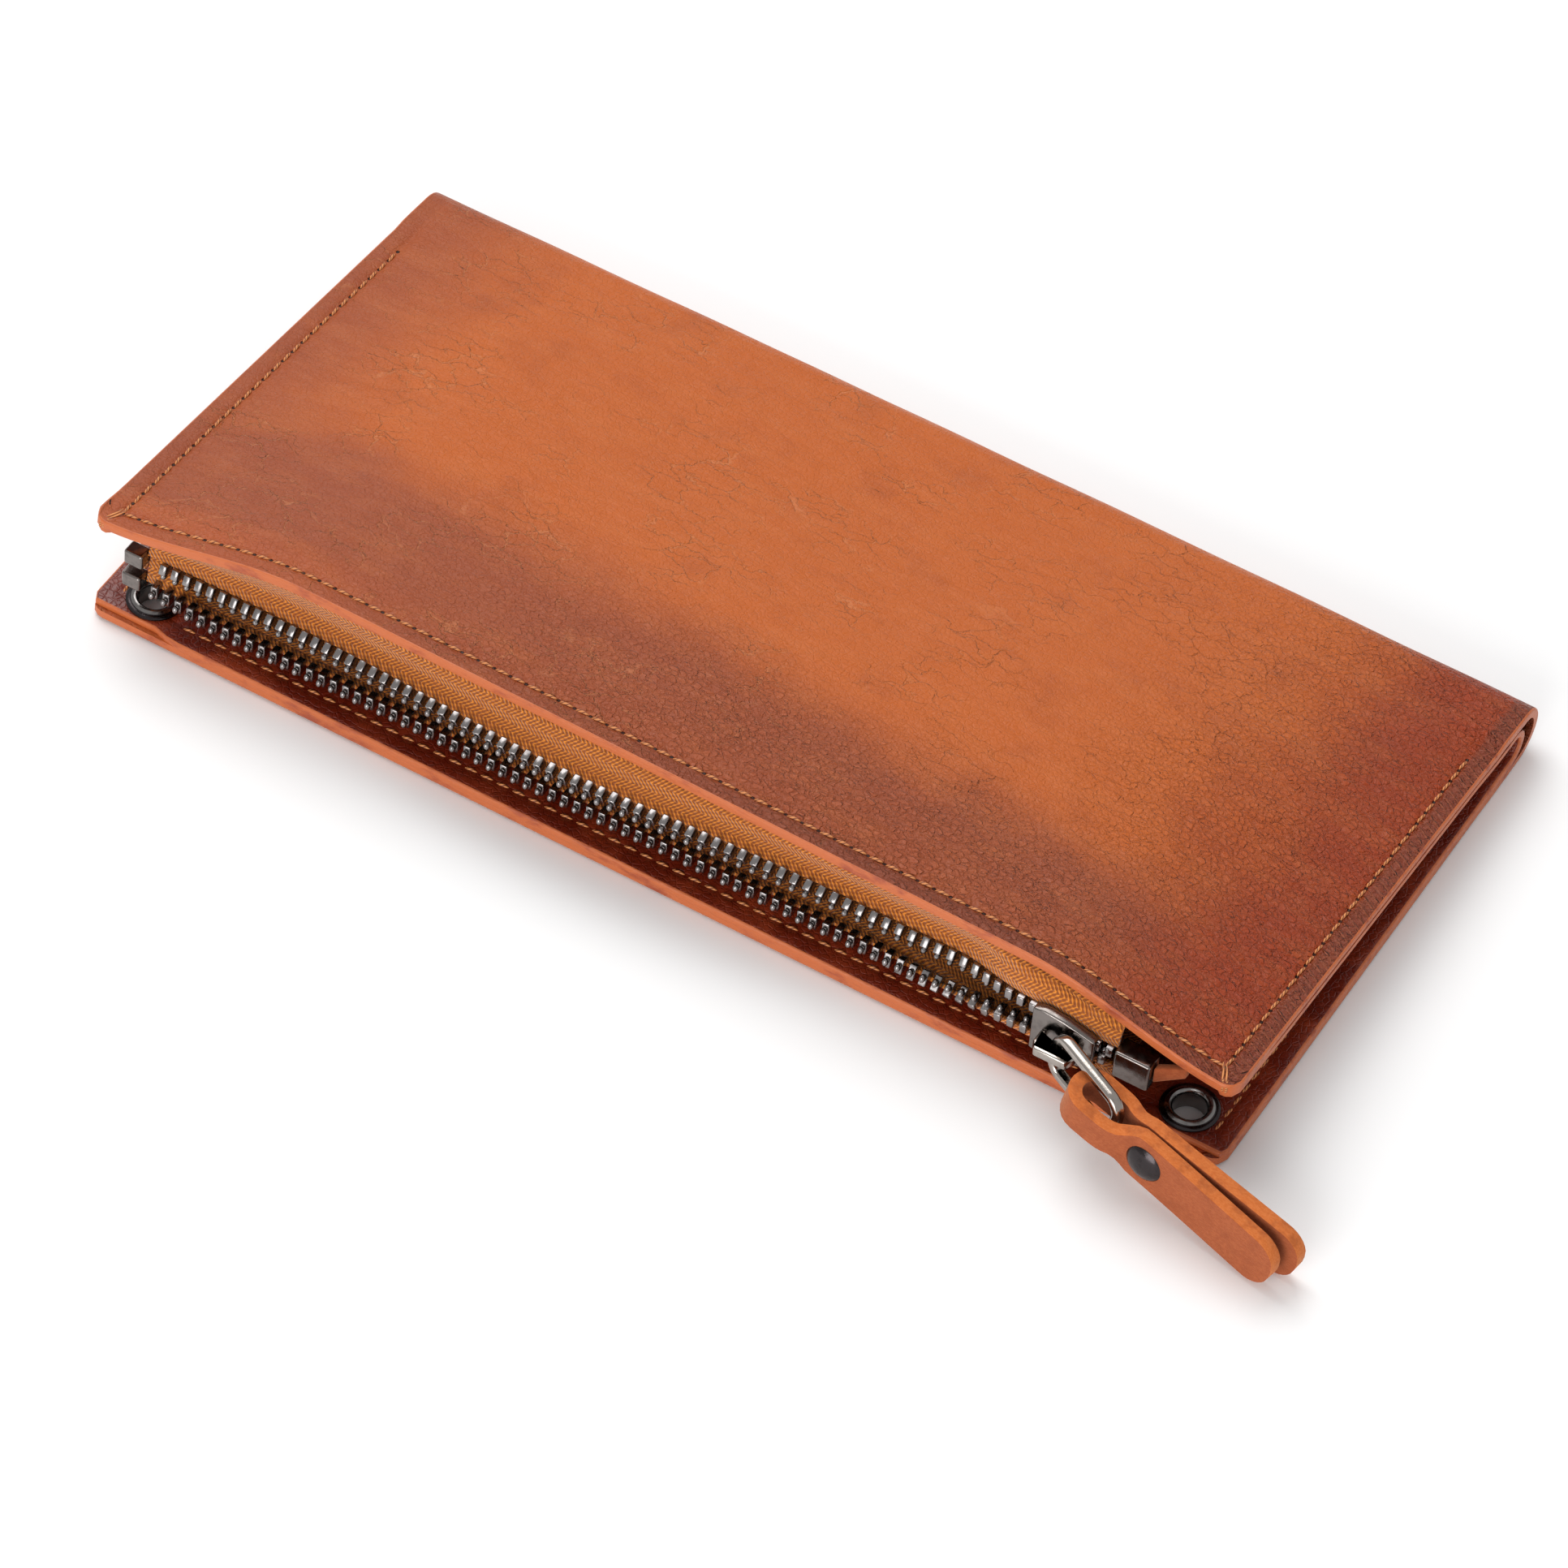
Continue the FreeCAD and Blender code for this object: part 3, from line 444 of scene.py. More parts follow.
class Look:
    """Builds one node material step by step."""

    def __init__(self, name: str) -> None:
        """Start a material.

        Args:
            name: its name.
        """
        self.material = bpy.data.materials.new(name)
        self.material.use_nodes = True
        self.tree = self.material.node_tree
        self.surface = next(n for n in self.tree.nodes if n.type == "BSDF_PRINCIPLED")

    def put(self, kind: str, inputs: dict | None = None, **settings: object) -> bpy.types.Node:
        """Add a shader node.

        Args:
            kind: the node's type after "ShaderNode".
            inputs: values or sockets for its inputs, by name or number.
            settings: its other properties.
        Returns:
            The node.
        """
        node = self.tree.nodes.new("ShaderNode" + kind)
        for name, value in settings.items():
            setattr(node, name, value)
        for key, value in (inputs or {}).items():
            self.join(value, node.inputs[key])
        return node

    def join(self, value: object, socket: bpy.types.NodeSocket) -> None:
        """Link a socket, or set a value.

        Args:
            value: a socket or a constant.
            socket: the input.
        """
        if isinstance(value, bpy.types.NodeSocket):
            self.tree.links.new(value, socket)
        else:
            socket.default_value = value

    def maths(self, kind: str, a: object, b: object = 0.0, c: object = 0.0) -> bpy.types.NodeSocket:
        """Result of a maths node.

        Args:
            kind: the operation.
            a: first value.
            b: second value.
            c: third value.
        Returns:
            The result.
        """
        return self.put("Math", {0: a, 1: b, 2: c}, operation=kind).outputs[0]

    def skin(self, channel: str = "UV", size: float = 1000.0) -> tuple[bpy.types.NodeSocket, ...]:
        """Coordinates in millimetres.

        Args:
            channel: UV or Object.
            size: units per metre.
        Returns:
            The vector and its three parts.
        """
        place = self.put("TexCoord").outputs[channel]
        vector = self.put("VectorMath", {0: place, "Scale": size}, operation="SCALE").outputs[0]
        return (vector, *self.put("SeparateXYZ", {0: vector}).outputs[:3])

    def noise(self, place: object, scale: float, detail: float = 3.0, rough: float = 0.55,
              stretch: Point = (1.0, 1.0, 1.0)) -> bpy.types.NodeSocket:
        """Noise between 0 and 1.

        Args:
            place: coordinates.
            scale: spots per unit.
            detail: finer layers.
            rough: strength of the finer layers.
            stretch: size factor along each axis.
        Returns:
            The noise.
        """
        if stretch != (1.0, 1.0, 1.0):
            place = self.put("VectorMath", {0: place, 1: stretch}, operation="MULTIPLY").outputs[0]
        return self.put("TexNoise", {"Vector": place, "Scale": scale, "Detail": detail, "Roughness": rough}).outputs[0]

    def cells(self, place: object, scale: float, feature: str = "DISTANCE_TO_EDGE") -> bpy.types.NodeSocket:
        """Distance in a cell pattern.

        Args:
            place: coordinates.
            scale: cells per unit.
            feature: which distance.
        Returns:
            The distance.
        """
        return self.put("TexVoronoi", {"Vector": place, "Scale": scale}, feature=feature).outputs[0]

    def ramp(
        self, value: object, low: float, high: float, start: float = 0.0, end: float = 1.0
    ) -> bpy.types.NodeSocket:
        """Soft rise of a value.

        Args:
            value: the value.
            low: where it starts.
            high: where it ends.
            start: result at low.
            end: result at high.
        Returns:
            The result.
        """
        inputs = {0: value, 1: low, 2: high, 3: start, 4: end}
        return self.put("MapRange", inputs, interpolation_type="SMOOTHSTEP").outputs[0]

    def shade(self, share: object, a: object, b: object, kind: str = "MIX") -> bpy.types.NodeSocket:
        """Colour between two.

        Args:
            share: how much of the second.
            a: first colour.
            b: second colour.
            kind: how they mix.
        Returns:
            The colour.
        """
        return self.put("Mix", {0: share, 6: a, 7: b}, data_type="RGBA", blend_type=kind).outputs[2]

    def bump(self, height: object, depth: float, under: object | None = None) -> bpy.types.NodeSocket:
        """Relief from a height.

        Args:
            height: 0 to 1.
            depth: its full height in millimetres.
            under: relief that it lies on.
        Returns:
            The normal.
        """
        node = self.put("Bump", {"Height": height, "Distance": depth * MM, "Strength": 1.0})
        if under is not None:
            self.join(under, node.inputs["Normal"])
        return node.outputs[0]

    def finish(self, **values: object) -> bpy.types.Material:
        """Set the surface's inputs.

        Args:
            values: input names, with _ for a space, and their values.
        Returns:
            The material.
        """
        for name, value in values.items():
            self.join(value, self.surface.inputs[name.replace("_", " ")])
        return self.material


STITCH_PITCH = 2 * 91.7 / 68


@dataclass(frozen=True)
class CoverLeather:
    """Burnished, waxed leather, duller along its worn borders, with sewing holes."""

    centre: tuple[int, int, int] = (188, 91, 24)
    worn: tuple[int, int, int] = (150, 70, 36)
    deep: tuple[int, int, int] = (148, 50, 6)
    margin: tuple[int, int, int] = (116, 52, 30)
    roughness: float = 0.4

    def build(self) -> bpy.types.Material:
        """Mix the material.

        Returns:
            The material.
        """
        look = Look("cover_leather")
        skin, u, v, _ = look.skin()
        cloud = look.noise(skin, 0.035, 4.0, 0.55)
        sway = look.maths("MULTIPLY", look.maths("SUBTRACT", cloud, 0.5), 26.0)
        across = look.maths("ADD", u, sway)
        along = look.maths("ADD", look.maths("MULTIPLY_ADD", u, 0.075, v), look.maths("MULTIPLY", sway, 0.8))
        side = look.maths("SUBTRACT", 95.0, look.maths("ABSOLUTE", u))
        edge = look.maths("MINIMUM", v, side)
        left = look.ramp(across, -66.0, -90.0)
        near = look.ramp(along, 36.0, 19.0)
        right = look.ramp(across, 58.0, 86.0)
        worn = look.maths("MAXIMUM", look.maths("MULTIPLY", left, 0.8), look.maths("MULTIPLY", near, 0.92))
        colour = look.shade(worn, tint(*self.centre), tint(*self.worn))
        colour = look.shade(look.maths("MULTIPLY", right, 0.95), colour, tint(*self.deep))
        glow = look.maths("MULTIPLY", look.ramp(across, -40.0, -70.0), look.ramp(v, 10.0, 5.0))
        colour = look.shade(look.maths("MULTIPLY", glow, 0.6), colour, tint(176, 82, 34))
        streaks = look.noise(skin, 0.22, 5.0, 0.62, (0.35, 1.0, 1.0))
        colour = look.shade(look.ramp(streaks, 0.4, 0.75, 0.0, 0.22), colour, tint(200, 112, 54))
        colour = look.shade(look.ramp(look.noise(skin, 0.09, 5.0, 0.6), 0.5, 0.75, 0.0, 0.3), colour, tint(140, 60, 24))
        specks = look.ramp(look.noise(skin, 1.6, 3.0, 0.6), 0.62, 0.72, 0.0, 0.28)
        colour = look.shade(specks, colour, tint(104, 48, 28))
        band = look.ramp(look.maths("ADD", edge, look.maths("MULTIPLY", streaks, 0.8)), 3.9, 2.9)
        share = look.maths("MULTIPLY", band, look.ramp(u, -60.0, 60.0, 0.15, 0.75))
        colour = look.shade(share, colour, tint(*self.margin))
        hole = self.holes(look, u, v, side)
        # painted shade: the sewing holes are darkened as if shadowed inside
        colour = look.shade(hole, colour, tint(38, 18, 12))
        slant = look.maths("SINE", look.maths("MULTIPLY", look.maths("ADD", look.maths("ADD", u, v), look.maths("MULTIPLY", v, 0.7)),
                                              2 * math.pi / STITCH_PITCH))
        ridge = look.maths("MULTIPLY", look.ramp(slant, 0.2, 1.0), look.ramp(edge, 3.6, 2.2))
        ridge = look.maths("MULTIPLY", ridge, look.ramp(look.maths("ADD", u, look.maths("MULTIPLY", sway, 2.0)), 30.0, 92.0))
        # painted highlight: the raised ridges between the slanted stitches are made lighter
        colour = look.shade(look.maths("MULTIPLY", ridge, 0.2), colour, tint(176, 100, 64))
        grain = look.maths("ADD", look.maths("MULTIPLY", look.ramp(look.cells(skin, 1.15), 0.0, 0.16), 0.35),
                           look.maths("MULTIPLY", look.noise(skin, 2.6, 5.0, 0.65), 0.65))
        bent = look.put("VectorMath", {0: look.put("TexNoise", {"Vector": skin, "Scale": 0.3, "Detail": 4.0}).outputs[1],
                                       1: (6.0, 6.0, 0.0), 2: skin}, operation="MULTIPLY_ADD").outputs[0]
        crease = look.ramp(look.cells(look.put("VectorMath", {0: bent, 1: (0.42, 1.0, 1.0)}, operation="MULTIPLY").outputs[0], 0.34),
                           0.035, 0.0)
        crease = look.maths("MULTIPLY", crease, look.ramp(look.noise(skin, 0.06, 3.0), 0.42, 0.62))
        share = look.maths("MULTIPLY", crease, look.ramp(u, 0.0, 50.0, 0.3, 0.0))
        colour = look.shade(share, colour, tint(214, 140, 92))
        nudged = look.put("VectorMath", {0: look.put("TexNoise", {"Vector": skin, "Scale": 0.9, "Detail": 2.0}).outputs[1],
                                         1: (1.1, 1.1, 0.0), 2: skin}, operation="MULTIPLY_ADD").outputs[0]
        pebble_place = look.put("VectorMath", {0: nudged, 1: (0.8, 1.1, 1.0)}, operation="MULTIPLY").outputs[0]
        pebble = look.ramp(look.cells(pebble_place, 0.95), 0.0, 0.24)
        rugged = look.maths("MAXIMUM", look.ramp(along, 40.0, 16.0), look.ramp(across, 30.0, 80.0))
        rugged = look.maths("MULTIPLY", rugged, look.ramp(look.maths("ADD", u, sway), -70.0, 20.0, 0.25, 1.0))
        furrow = look.maths("MULTIPLY", look.maths("SUBTRACT", 1.0, pebble), rugged)
        # painted shade: the furrows between the pebbles are darkened
        colour = look.shade(look.maths("MULTIPLY", furrow, 0.2), colour, tint(104, 42, 18))
        fold = look.noise(skin, 0.28, 5.0, 0.6, (0.5, 1.2, 1.0))
        normal = look.bump(fold, 0.5)
        normal = look.bump(look.maths("SUBTRACT", 1.0, crease), 0.14, normal)
        normal = look.bump(look.maths("SUBTRACT", 1.0, furrow), 0.2, normal)
        normal = look.bump(grain, 0.13, normal)
        normal = look.bump(look.maths("SUBTRACT", look.maths("MULTIPLY", ridge, 0.5), hole), 0.3, normal)
        rough = look.ramp(look.noise(skin, 0.5, 4.0), 0.3, 0.75, self.roughness - 0.07, self.roughness + 0.1)
        return look.finish(Base_Color=colour, Roughness=rough, Normal=normal, Specular_IOR_Level=0.3)

    def holes(self, look: Look, u: object, v: object, side: object) -> bpy.types.NodeSocket:
        """Mask of the sewing holes along the near edge and both ends.

        Args:
            look: the material being built.
            u: place along the wallet.
            v: distance from the near edge.
            side: distance from the nearest end.
        Returns:
            1 in a hole, 0 elsewhere.
        """

        def row(run: object, off: object, limit: object) -> bpy.types.NodeSocket:
            """One straight row of holes.

            Args:
                run: place along the row.
                off: distance from the edge it follows.
                limit: 1 where the row is sewn, 0 past its ends.
            Returns:
                1 in a hole, 0 elsewhere.
            """
            step = look.maths("PINGPONG", run, STITCH_PITCH / 2)
            away = look.maths("ADD", look.maths("POWER", step, 2.0),
                              look.maths("POWER", look.maths("MULTIPLY", look.maths("ABSOLUTE", look.maths("SUBTRACT", off, 3.3)), 1.3), 2.0))
            return look.maths("MULTIPLY", look.ramp(away, 0.16, 0.03), limit)

        near = row(look.maths("ABSOLUTE", u), v, 1.0)
        ends = row(look.maths("ABSOLUTE", look.maths("SUBTRACT", v, 3.3)), side,
                   look.maths("MULTIPLY", look.maths("GREATER_THAN", v, 2.5), look.maths("LESS_THAN", v, 79.6)))
        return look.maths("MAXIMUM", near, ends)


@dataclass(frozen=True)
class LiningLeather:
    """Glossy red-brown lining leather."""

    colour: tuple[int, int, int] = (106, 28, 8)
    light: tuple[int, int, int] = (144, 52, 18)
    roughness: float = 0.3

    def build(self) -> bpy.types.Material:
        """Mix the material.

        Returns:
            The material.
        """
        look = Look("lining_leather")
        skin, *_ = look.skin("Object")
        mottle = look.noise(skin, 0.12, 5.0, 0.6)
        colour = look.shade(look.ramp(mottle, 0.4, 0.72), tint(*self.colour), tint(*self.light))
        colour = look.shade(look.ramp(look.noise(skin, 1.4, 4.0), 0.5, 0.72, 0.0, 0.4), colour, tint(64, 18, 8))
        crackle = look.ramp(look.cells(skin, 1.0), 0.0, 0.14)
        normal = look.bump(look.noise(skin, 0.35, 4.0), 0.35)
        normal = look.bump(look.maths("ADD", look.maths("MULTIPLY", crackle, 0.5),
                                      look.maths("MULTIPLY", look.noise(skin, 2.2, 5.0), 0.5)), 0.1, normal)
        rough = look.ramp(mottle, 0.3, 0.7, self.roughness, self.roughness + 0.14)
        return look.finish(Base_Color=colour, Roughness=rough, Normal=normal, Specular_IOR_Level=0.6)


@dataclass(frozen=True)
class EdgePaint:
    """Waxed, painted cut edge."""

    name: str = "edge_paint"
    colour: tuple[int, int, int] = (188, 96, 46)
    dark: tuple[int, int, int] = (150, 62, 30)
    roughness: float = 0.45

    def build(self) -> bpy.types.Material:
        """Mix the material.

        Returns:
            The material.
        """
        look = Look(self.name)
        skin, *_ = look.skin("Object")
        wear = look.noise(skin, 0.4, 5.0, 0.65, (0.4, 1.0, 1.0))
        colour = look.shade(look.ramp(wear, 0.48, 0.72), tint(*self.colour), tint(*self.dark))
        normal = look.bump(look.noise(skin, 1.3, 4.0, 0.6, (0.3, 1.0, 1.6)), 0.16)
        return look.finish(Base_Color=colour, Roughness=self.roughness, Normal=normal)


@dataclass(frozen=True)
class SuedeLeather:
    """Napped leather of the pull strap."""

    name: str = "strap_suede"
    colour: tuple[int, int, int] = (148, 70, 36)
    light: tuple[int, int, int] = (166, 86, 48)
    nap: float = 0.12

    def build(self) -> bpy.types.Material:
        """Mix the material.

        Returns:
            The material.
        """
        look = Look(self.name)
        skin, *_ = look.skin("Object")
        fibre = look.noise(skin, 3.2, 6.0, 0.75, (0.5, 1.0, 1.0))
        patches = look.noise(skin, 0.4, 4.0, 0.6)
        colour = look.shade(look.ramp(fibre, 0.36, 0.68), tint(*self.colour), tint(*self.light))
        colour = look.shade(look.ramp(patches, 0.45, 0.7, 0.0, 0.5), colour, tint(136, 62, 30))
        relief = look.maths("ADD", look.maths("MULTIPLY", fibre, 0.7), look.maths("MULTIPLY", patches, 0.3))
        normal = look.bump(relief, self.nap)
        return look.finish(Base_Color=colour, Roughness=0.85, Normal=normal, Sheen_Weight=0.35, Sheen_Roughness=0.5,
                           Sheen_Tint=tint(230, 180, 140), Specular_IOR_Level=0.25)


@dataclass(frozen=True)
class ZipTape:
    """Ochre tape woven in slanting ribs that meet in chevrons."""

    colour: tuple[int, int, int] = (222, 132, 44)
    # painted shade: the colour of the gaps between the ribs
    rib_gap_shade: tuple[int, int, int] = (140, 70, 24)
    rib: float = 0.72

    def build(self) -> bpy.types.Material:
        """Mix the material.

        Returns:
            The material.
        """
        look = Look("zip_tape")
        skin, u, v, _ = look.skin()
        zigzag = look.maths("PINGPONG", v, 1.35)
        rib = look.maths("SINE", look.maths("MULTIPLY", look.maths("ADD", u, zigzag), 2 * math.pi / self.rib))
        bead = look.maths("SINE", look.maths("MULTIPLY", look.maths("SUBTRACT", zigzag, look.maths("MULTIPLY", u, 0.35)),
                                             2 * math.pi / self.rib))
        weave = look.maths("ADD", look.maths("MULTIPLY", rib, 0.5), look.maths("MULTIPLY", bead, 0.25))
        height = look.ramp(weave, -0.6, 0.6)
        # painted shade: the gaps between the woven ribs are darkened
        colour = look.shade(height, tint(*self.rib_gap_shade), tint(*self.colour))
        colour = look.shade(look.ramp(look.noise(skin, 0.5, 4.0), 0.4, 0.7, 0.0, 0.35), colour, tint(176, 92, 34))
        normal = look.bump(height, 0.22)
        normal = look.bump(look.noise(skin, 5.0, 3.0), 0.05, normal)
        return look.finish(Base_Color=colour, Roughness=0.75, Normal=normal, Sheen_Weight=0.3, Sheen_Roughness=0.4,
                           Specular_IOR_Level=0.3)


@dataclass(frozen=True)
class WaxedThread:
    """Waxed, twisted sewing thread."""

    colour: tuple[int, int, int] = (214, 138, 80)
    # painted shade: the colour in the grooves of the twist
    groove: tuple[int, int, int] = (128, 66, 32)

    def build(self) -> bpy.types.Material:
        """Mix the material.

        Returns:
            The material.
        """
        look = Look("waxed_thread")
        _, u, v, _ = look.skin(size=1.0)
        twist = look.maths("SINE", look.maths("MULTIPLY", look.maths("ADD", look.maths("MULTIPLY", u, 2.0), look.maths("MULTIPLY", v, 5.0)),
                                              2 * math.pi))
        # painted shade: the grooves between the twisted plies are darkened
        colour = look.shade(look.ramp(twist, -0.9, 0.1), tint(*self.groove), tint(*self.colour))
        return look.finish(Base_Color=colour, Roughness=0.55, Normal=look.bump(look.ramp(twist, -1.0, 1.0), 0.05))


@dataclass(frozen=True)
class Metal:
    """Plated and polished metal."""

    name: str
    colour: tuple[int, int, int]
    roughness: float
    scratch: float = 0.012

    def build(self) -> bpy.types.Material:
        """Mix the material.

        Returns:
            The material.
        """
        look = Look(self.name)
        skin, *_ = look.skin("Object")
        wear = look.noise(skin, 0.9, 5.0, 0.6)
        rough = look.ramp(wear, 0.35, 0.7, self.roughness, self.roughness + 0.14)
        normal = look.bump(look.noise(skin, 2.4, 5.0, 0.7), self.scratch)
        shadow = tint(*(c // 2 for c in self.colour))
        tone = look.shade(look.ramp(wear, 0.45, 0.75, 0.0, 0.4), tint(*self.colour), shadow)
        return look.finish(Base_Color=tone, Metallic=1.0, Roughness=rough, Normal=normal)


@dataclass(frozen=True)
class PouchCloth:
    """Plain woven lining cloth."""

    colour: tuple[int, int, int] = (86, 58, 42)
    thread: float = 0.42

    def build(self) -> bpy.types.Material:
        """Mix the material.

        Returns:
            The material.
        """
        look = Look("pouch_cloth")
        skin, u, v, _ = look.skin()
        warp = look.maths("SINE", look.maths("MULTIPLY", u, 2 * math.pi / self.thread))
        weft = look.maths("SINE", look.maths("MULTIPLY", v, 2 * math.pi / self.thread))
        weave = look.maths("MULTIPLY", warp, weft)
        # painted shade: the hollows between warp and weft get half the colour
        colour = look.shade(look.ramp(weave, -1.0, 0.8), tint(*(c // 2 for c in self.colour)), tint(*self.colour))
        colour = look.shade(look.ramp(look.noise(skin, 0.15, 4.0), 0.4, 0.7, 0.0, 0.3), colour, tint(110, 76, 52))
        return look.finish(Base_Color=colour, Roughness=0.85, Normal=look.bump(look.ramp(weave, -1.0, 1.0), 0.08),
                           Sheen_Weight=0.2, Specular_IOR_Level=0.3)


class Finishes:
    """Every material, built once."""

    def __init__(self) -> None:
        """Build the materials."""
        self.cover = CoverLeather().build()
        self.lining = LiningLeather().build()
        self.paint = EdgePaint().build()
        self.suede = SuedeLeather().build()
        self.suede_edge = SuedeLeather("strap_edge", (194, 100, 42), (208, 118, 60), 0.08).build()
        self.tape = ZipTape().build()
        self.thread = WaxedThread().build()
        # lit copy of the teeth metal, for the flat and side faces of each tooth
        self.teeth = Metal("teeth_metal", (146, 141, 140), 0.17).build()
        self.zip_metal = Metal("gunmetal", (128, 121, 117), 0.13).build()
        self.polished = Metal("polished_gunmetal", (172, 164, 157), 0.1).build()
        # painted shade: a darkened copy of the teeth metal, for the heads and end faces of the teeth
        self.dark = Metal("teeth_painted_shade", (62, 59, 60), 0.14).build()
        self.nickel = Metal("black_nickel", (62, 57, 58), 0.16).build()
        self.bright = Metal("lighter_nickel", (136, 132, 130), 0.14).build()
        self.cloth = PouchCloth().build()


# ------------------------------------------------------------------ leathers


def steps_from_edge(far: float, pitch: float) -> list[float]:
    """Distances from a sewn edge, close together round the seam and wider after it.

    Args:
        far: the last distance.
        pitch: spacing away from the seam.
    Returns:
        The distances, starting at 0.
    """
    near = [0.0, 0.8, 1.6, 2.3, 2.8, 3.05, 3.3, 3.55, 3.8, 4.4, 5.4, 7.0, 9.0]
    count = max(1, round((far - near[-1]) / pitch))
    return near + [near[-1] + (far - near[-1]) * i / count for i in range(1, count + 1)]


def across_both_ends(pitch: float) -> list[float]:
    """Positions along the wallet, close together at both ends.

    Args:
        pitch: spacing in the middle.
    Returns:
        The positions, in order.
    """
    half = steps_from_edge(FORM.half, pitch)
    return [-FORM.half + d for d in half] + [FORM.half - d for d in reversed(half[:-1])]


def seam_relief(away: float) -> float:
    """How far leather stands in or out at a distance from a sewn edge: a thread groove, then a soft swell."""
    groove = -0.26 * math.exp(-(((away - FORM.seam_inset) / 0.55) ** 2))
    return groove - 0.32 * (1 - smooth((away - 3.4) / 6.5)) + 0.1 * math.exp(-(((away - 1.7) / 0.9) ** 2))


def waviness(x: float, y: float) -> float:
    """Slow unevenness of worn leather, in millimetres."""
    slow = noise.noise(Vector((x / 34.0, y / 26.0, 1.7)))
    return 0.34 * slow + 0.14 * noise.noise(Vector((x / 11.0, y / 9.0, 5.2)))


class Stretch(Enum):
    """The stretches that the rows of a folded skin lie on."""

    FRONT = "front"
    RUN = "run"
    FOLD = "fold"
    BACK = "back"
    EDGE = "edge"


class OuterLeather:
    """The cover: one skin from the front's near edge, over the fold, to the back's near edge."""

    fold_steps: int = 16
    front_steps: int = 36
    back_steps: int = 26

    def __init__(self, finishes: Finishes) -> None:
        """Lay the skin, thicken it and cut the eyelet holes.

        Args:
            finishes: the materials.
        """
        self.columns = across_both_ends(2.2)
        self.rows = self.row_plan()
        piece = grid_piece("outer_leather", len(self.columns), len(self.rows), self.place)
        lay_uv(piece, len(self.columns), len(self.rows), self.flat)
        dress(piece, finishes.cover, finishes.paint)
        slab(piece, FORM.cover_thick, 0.62, 0.07)
        punch(piece, 3.1)
        soften(piece, 50.0)
        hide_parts("outer_cover_back", "outer_cover_front")
        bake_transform(piece)

    def row_plan(self) -> list[tuple[Stretch, float]]:
        """Rows of the skin: which stretch each lies on, and how far along it."""
        near = steps_from_edge(9.0, 1.0)[:-1]
        front = [(Stretch.FRONT, d) for d in near]
        front += [(Stretch.RUN, i / self.front_steps) for i in range(self.front_steps)]
        fold = [(Stretch.FOLD, i / self.fold_steps) for i in range(self.fold_steps + 1)]
        back = [(Stretch.BACK, i / self.back_steps) for i in range(1, self.back_steps)]
        return front + fold + back + [(Stretch.EDGE, d) for d in reversed(near)]

    def place(self, column: int, row: int) -> Point:
        """Point of the outer face.

        Args:
            column: position along the wallet.
            row: position along the skin.
        Returns:
            The point in millimetres.
        """
        x = self.columns[column]
        kind, share = self.rows[row]
        side = FORM.half - abs(x)
        lean = FORM.lean(x)
        edge_y, _ = FORM.cover_edge(x)
        top_y = FORM.fold_y + FORM.fold_radius * math.sin(lean)
        if kind in (Stretch.FRONT, Stretch.RUN):
            y = edge_y + (share if kind is Stretch.FRONT else 9.0 + share * (top_y - edge_y - 9.0))
            away = y - edge_y
            pull = FORM.pull(x) * (1 - smooth(away / 9.0))
            sewn = min(away, side if away < 84.0 else 20.0)
            fade = smooth((top_y - y) / 8.0)
            lift = seam_relief(sewn) * max(fade, 0.2) + waviness(x, y) * smooth(sewn / 12.0) * fade
            return (x, y + pull, FORM.cover_height(x, y) + lift)
        if kind is Stretch.FOLD:
            angle = math.radians(90) - lean - share * (math.pi - lean)
            bulge = 0.45 * (1 - (x / FORM.half) ** 2) * math.sin(math.pi * share)
            uneven = 0.12 * noise.noise(Vector((x / 16.0, share * 3.0, 9.0))) * math.sin(math.pi * share)
            reach = FORM.fold_radius + bulge + uneven
            return (x, FORM.fold_y + reach * math.cos(angle), FORM.fold_radius + reach * math.sin(angle))
        near_y = -FORM.near_back
        if kind is Stretch.BACK:
            y = FORM.fold_y + share * (near_y + 9.0 - FORM.fold_y)
        else:
            y = near_y + share
        pull = FORM.pull(x) * (1 - smooth((y - near_y) / 9.0))
        sewn = min(y - near_y, side if y < 32 else 20.0)
        return (x, y + pull, -min(0.0, seam_relief(sewn) + 0.1) * 0.8)

    def flat(self, column: int, row: int) -> Pair:
        """Place on the flat skin.

        Args:
            column: position along the wallet.
            row: position along the skin.
        Returns:
            Distance along the wallet, and from the front's near edge.
        """
        kind, share = self.rows[row]
        run, fold, back = 92.4, math.pi * FORM.fold_radius, FORM.fold_y + FORM.near_back
        distance = {
            Stretch.FRONT: share,
            Stretch.RUN: 9.0 + share * (run - 9.0),
            Stretch.FOLD: run + share * fold,
            Stretch.BACK: run + fold + share * (back - 9.0),
            Stretch.EDGE: run + fold + back - share,
        }[kind]
        return self.columns[column], distance


def punch(piece: bpy.types.Object, radius: float) -> None:
    """Cut the two eyelet holes through a leather.

    Args:
        piece: the leather.
        radius: radius of each hole in millimetres.
    """
    for way in (-1, 1):
        bpy.ops.object.select_all(action="DESELECT")
        bpy.ops.mesh.primitive_cylinder_add(vertices=40, radius=radius * MM, depth=8 * MM,
                                            location=(way * FORM.eyelet_x * MM, -FORM.eyelet_y * MM, 1.5 * MM))
        cutter = bpy.context.object
        apply(piece, "BOOLEAN", object=cutter, operation="DIFFERENCE", solver="EXACT")
        bpy.data.objects.remove(cutter)


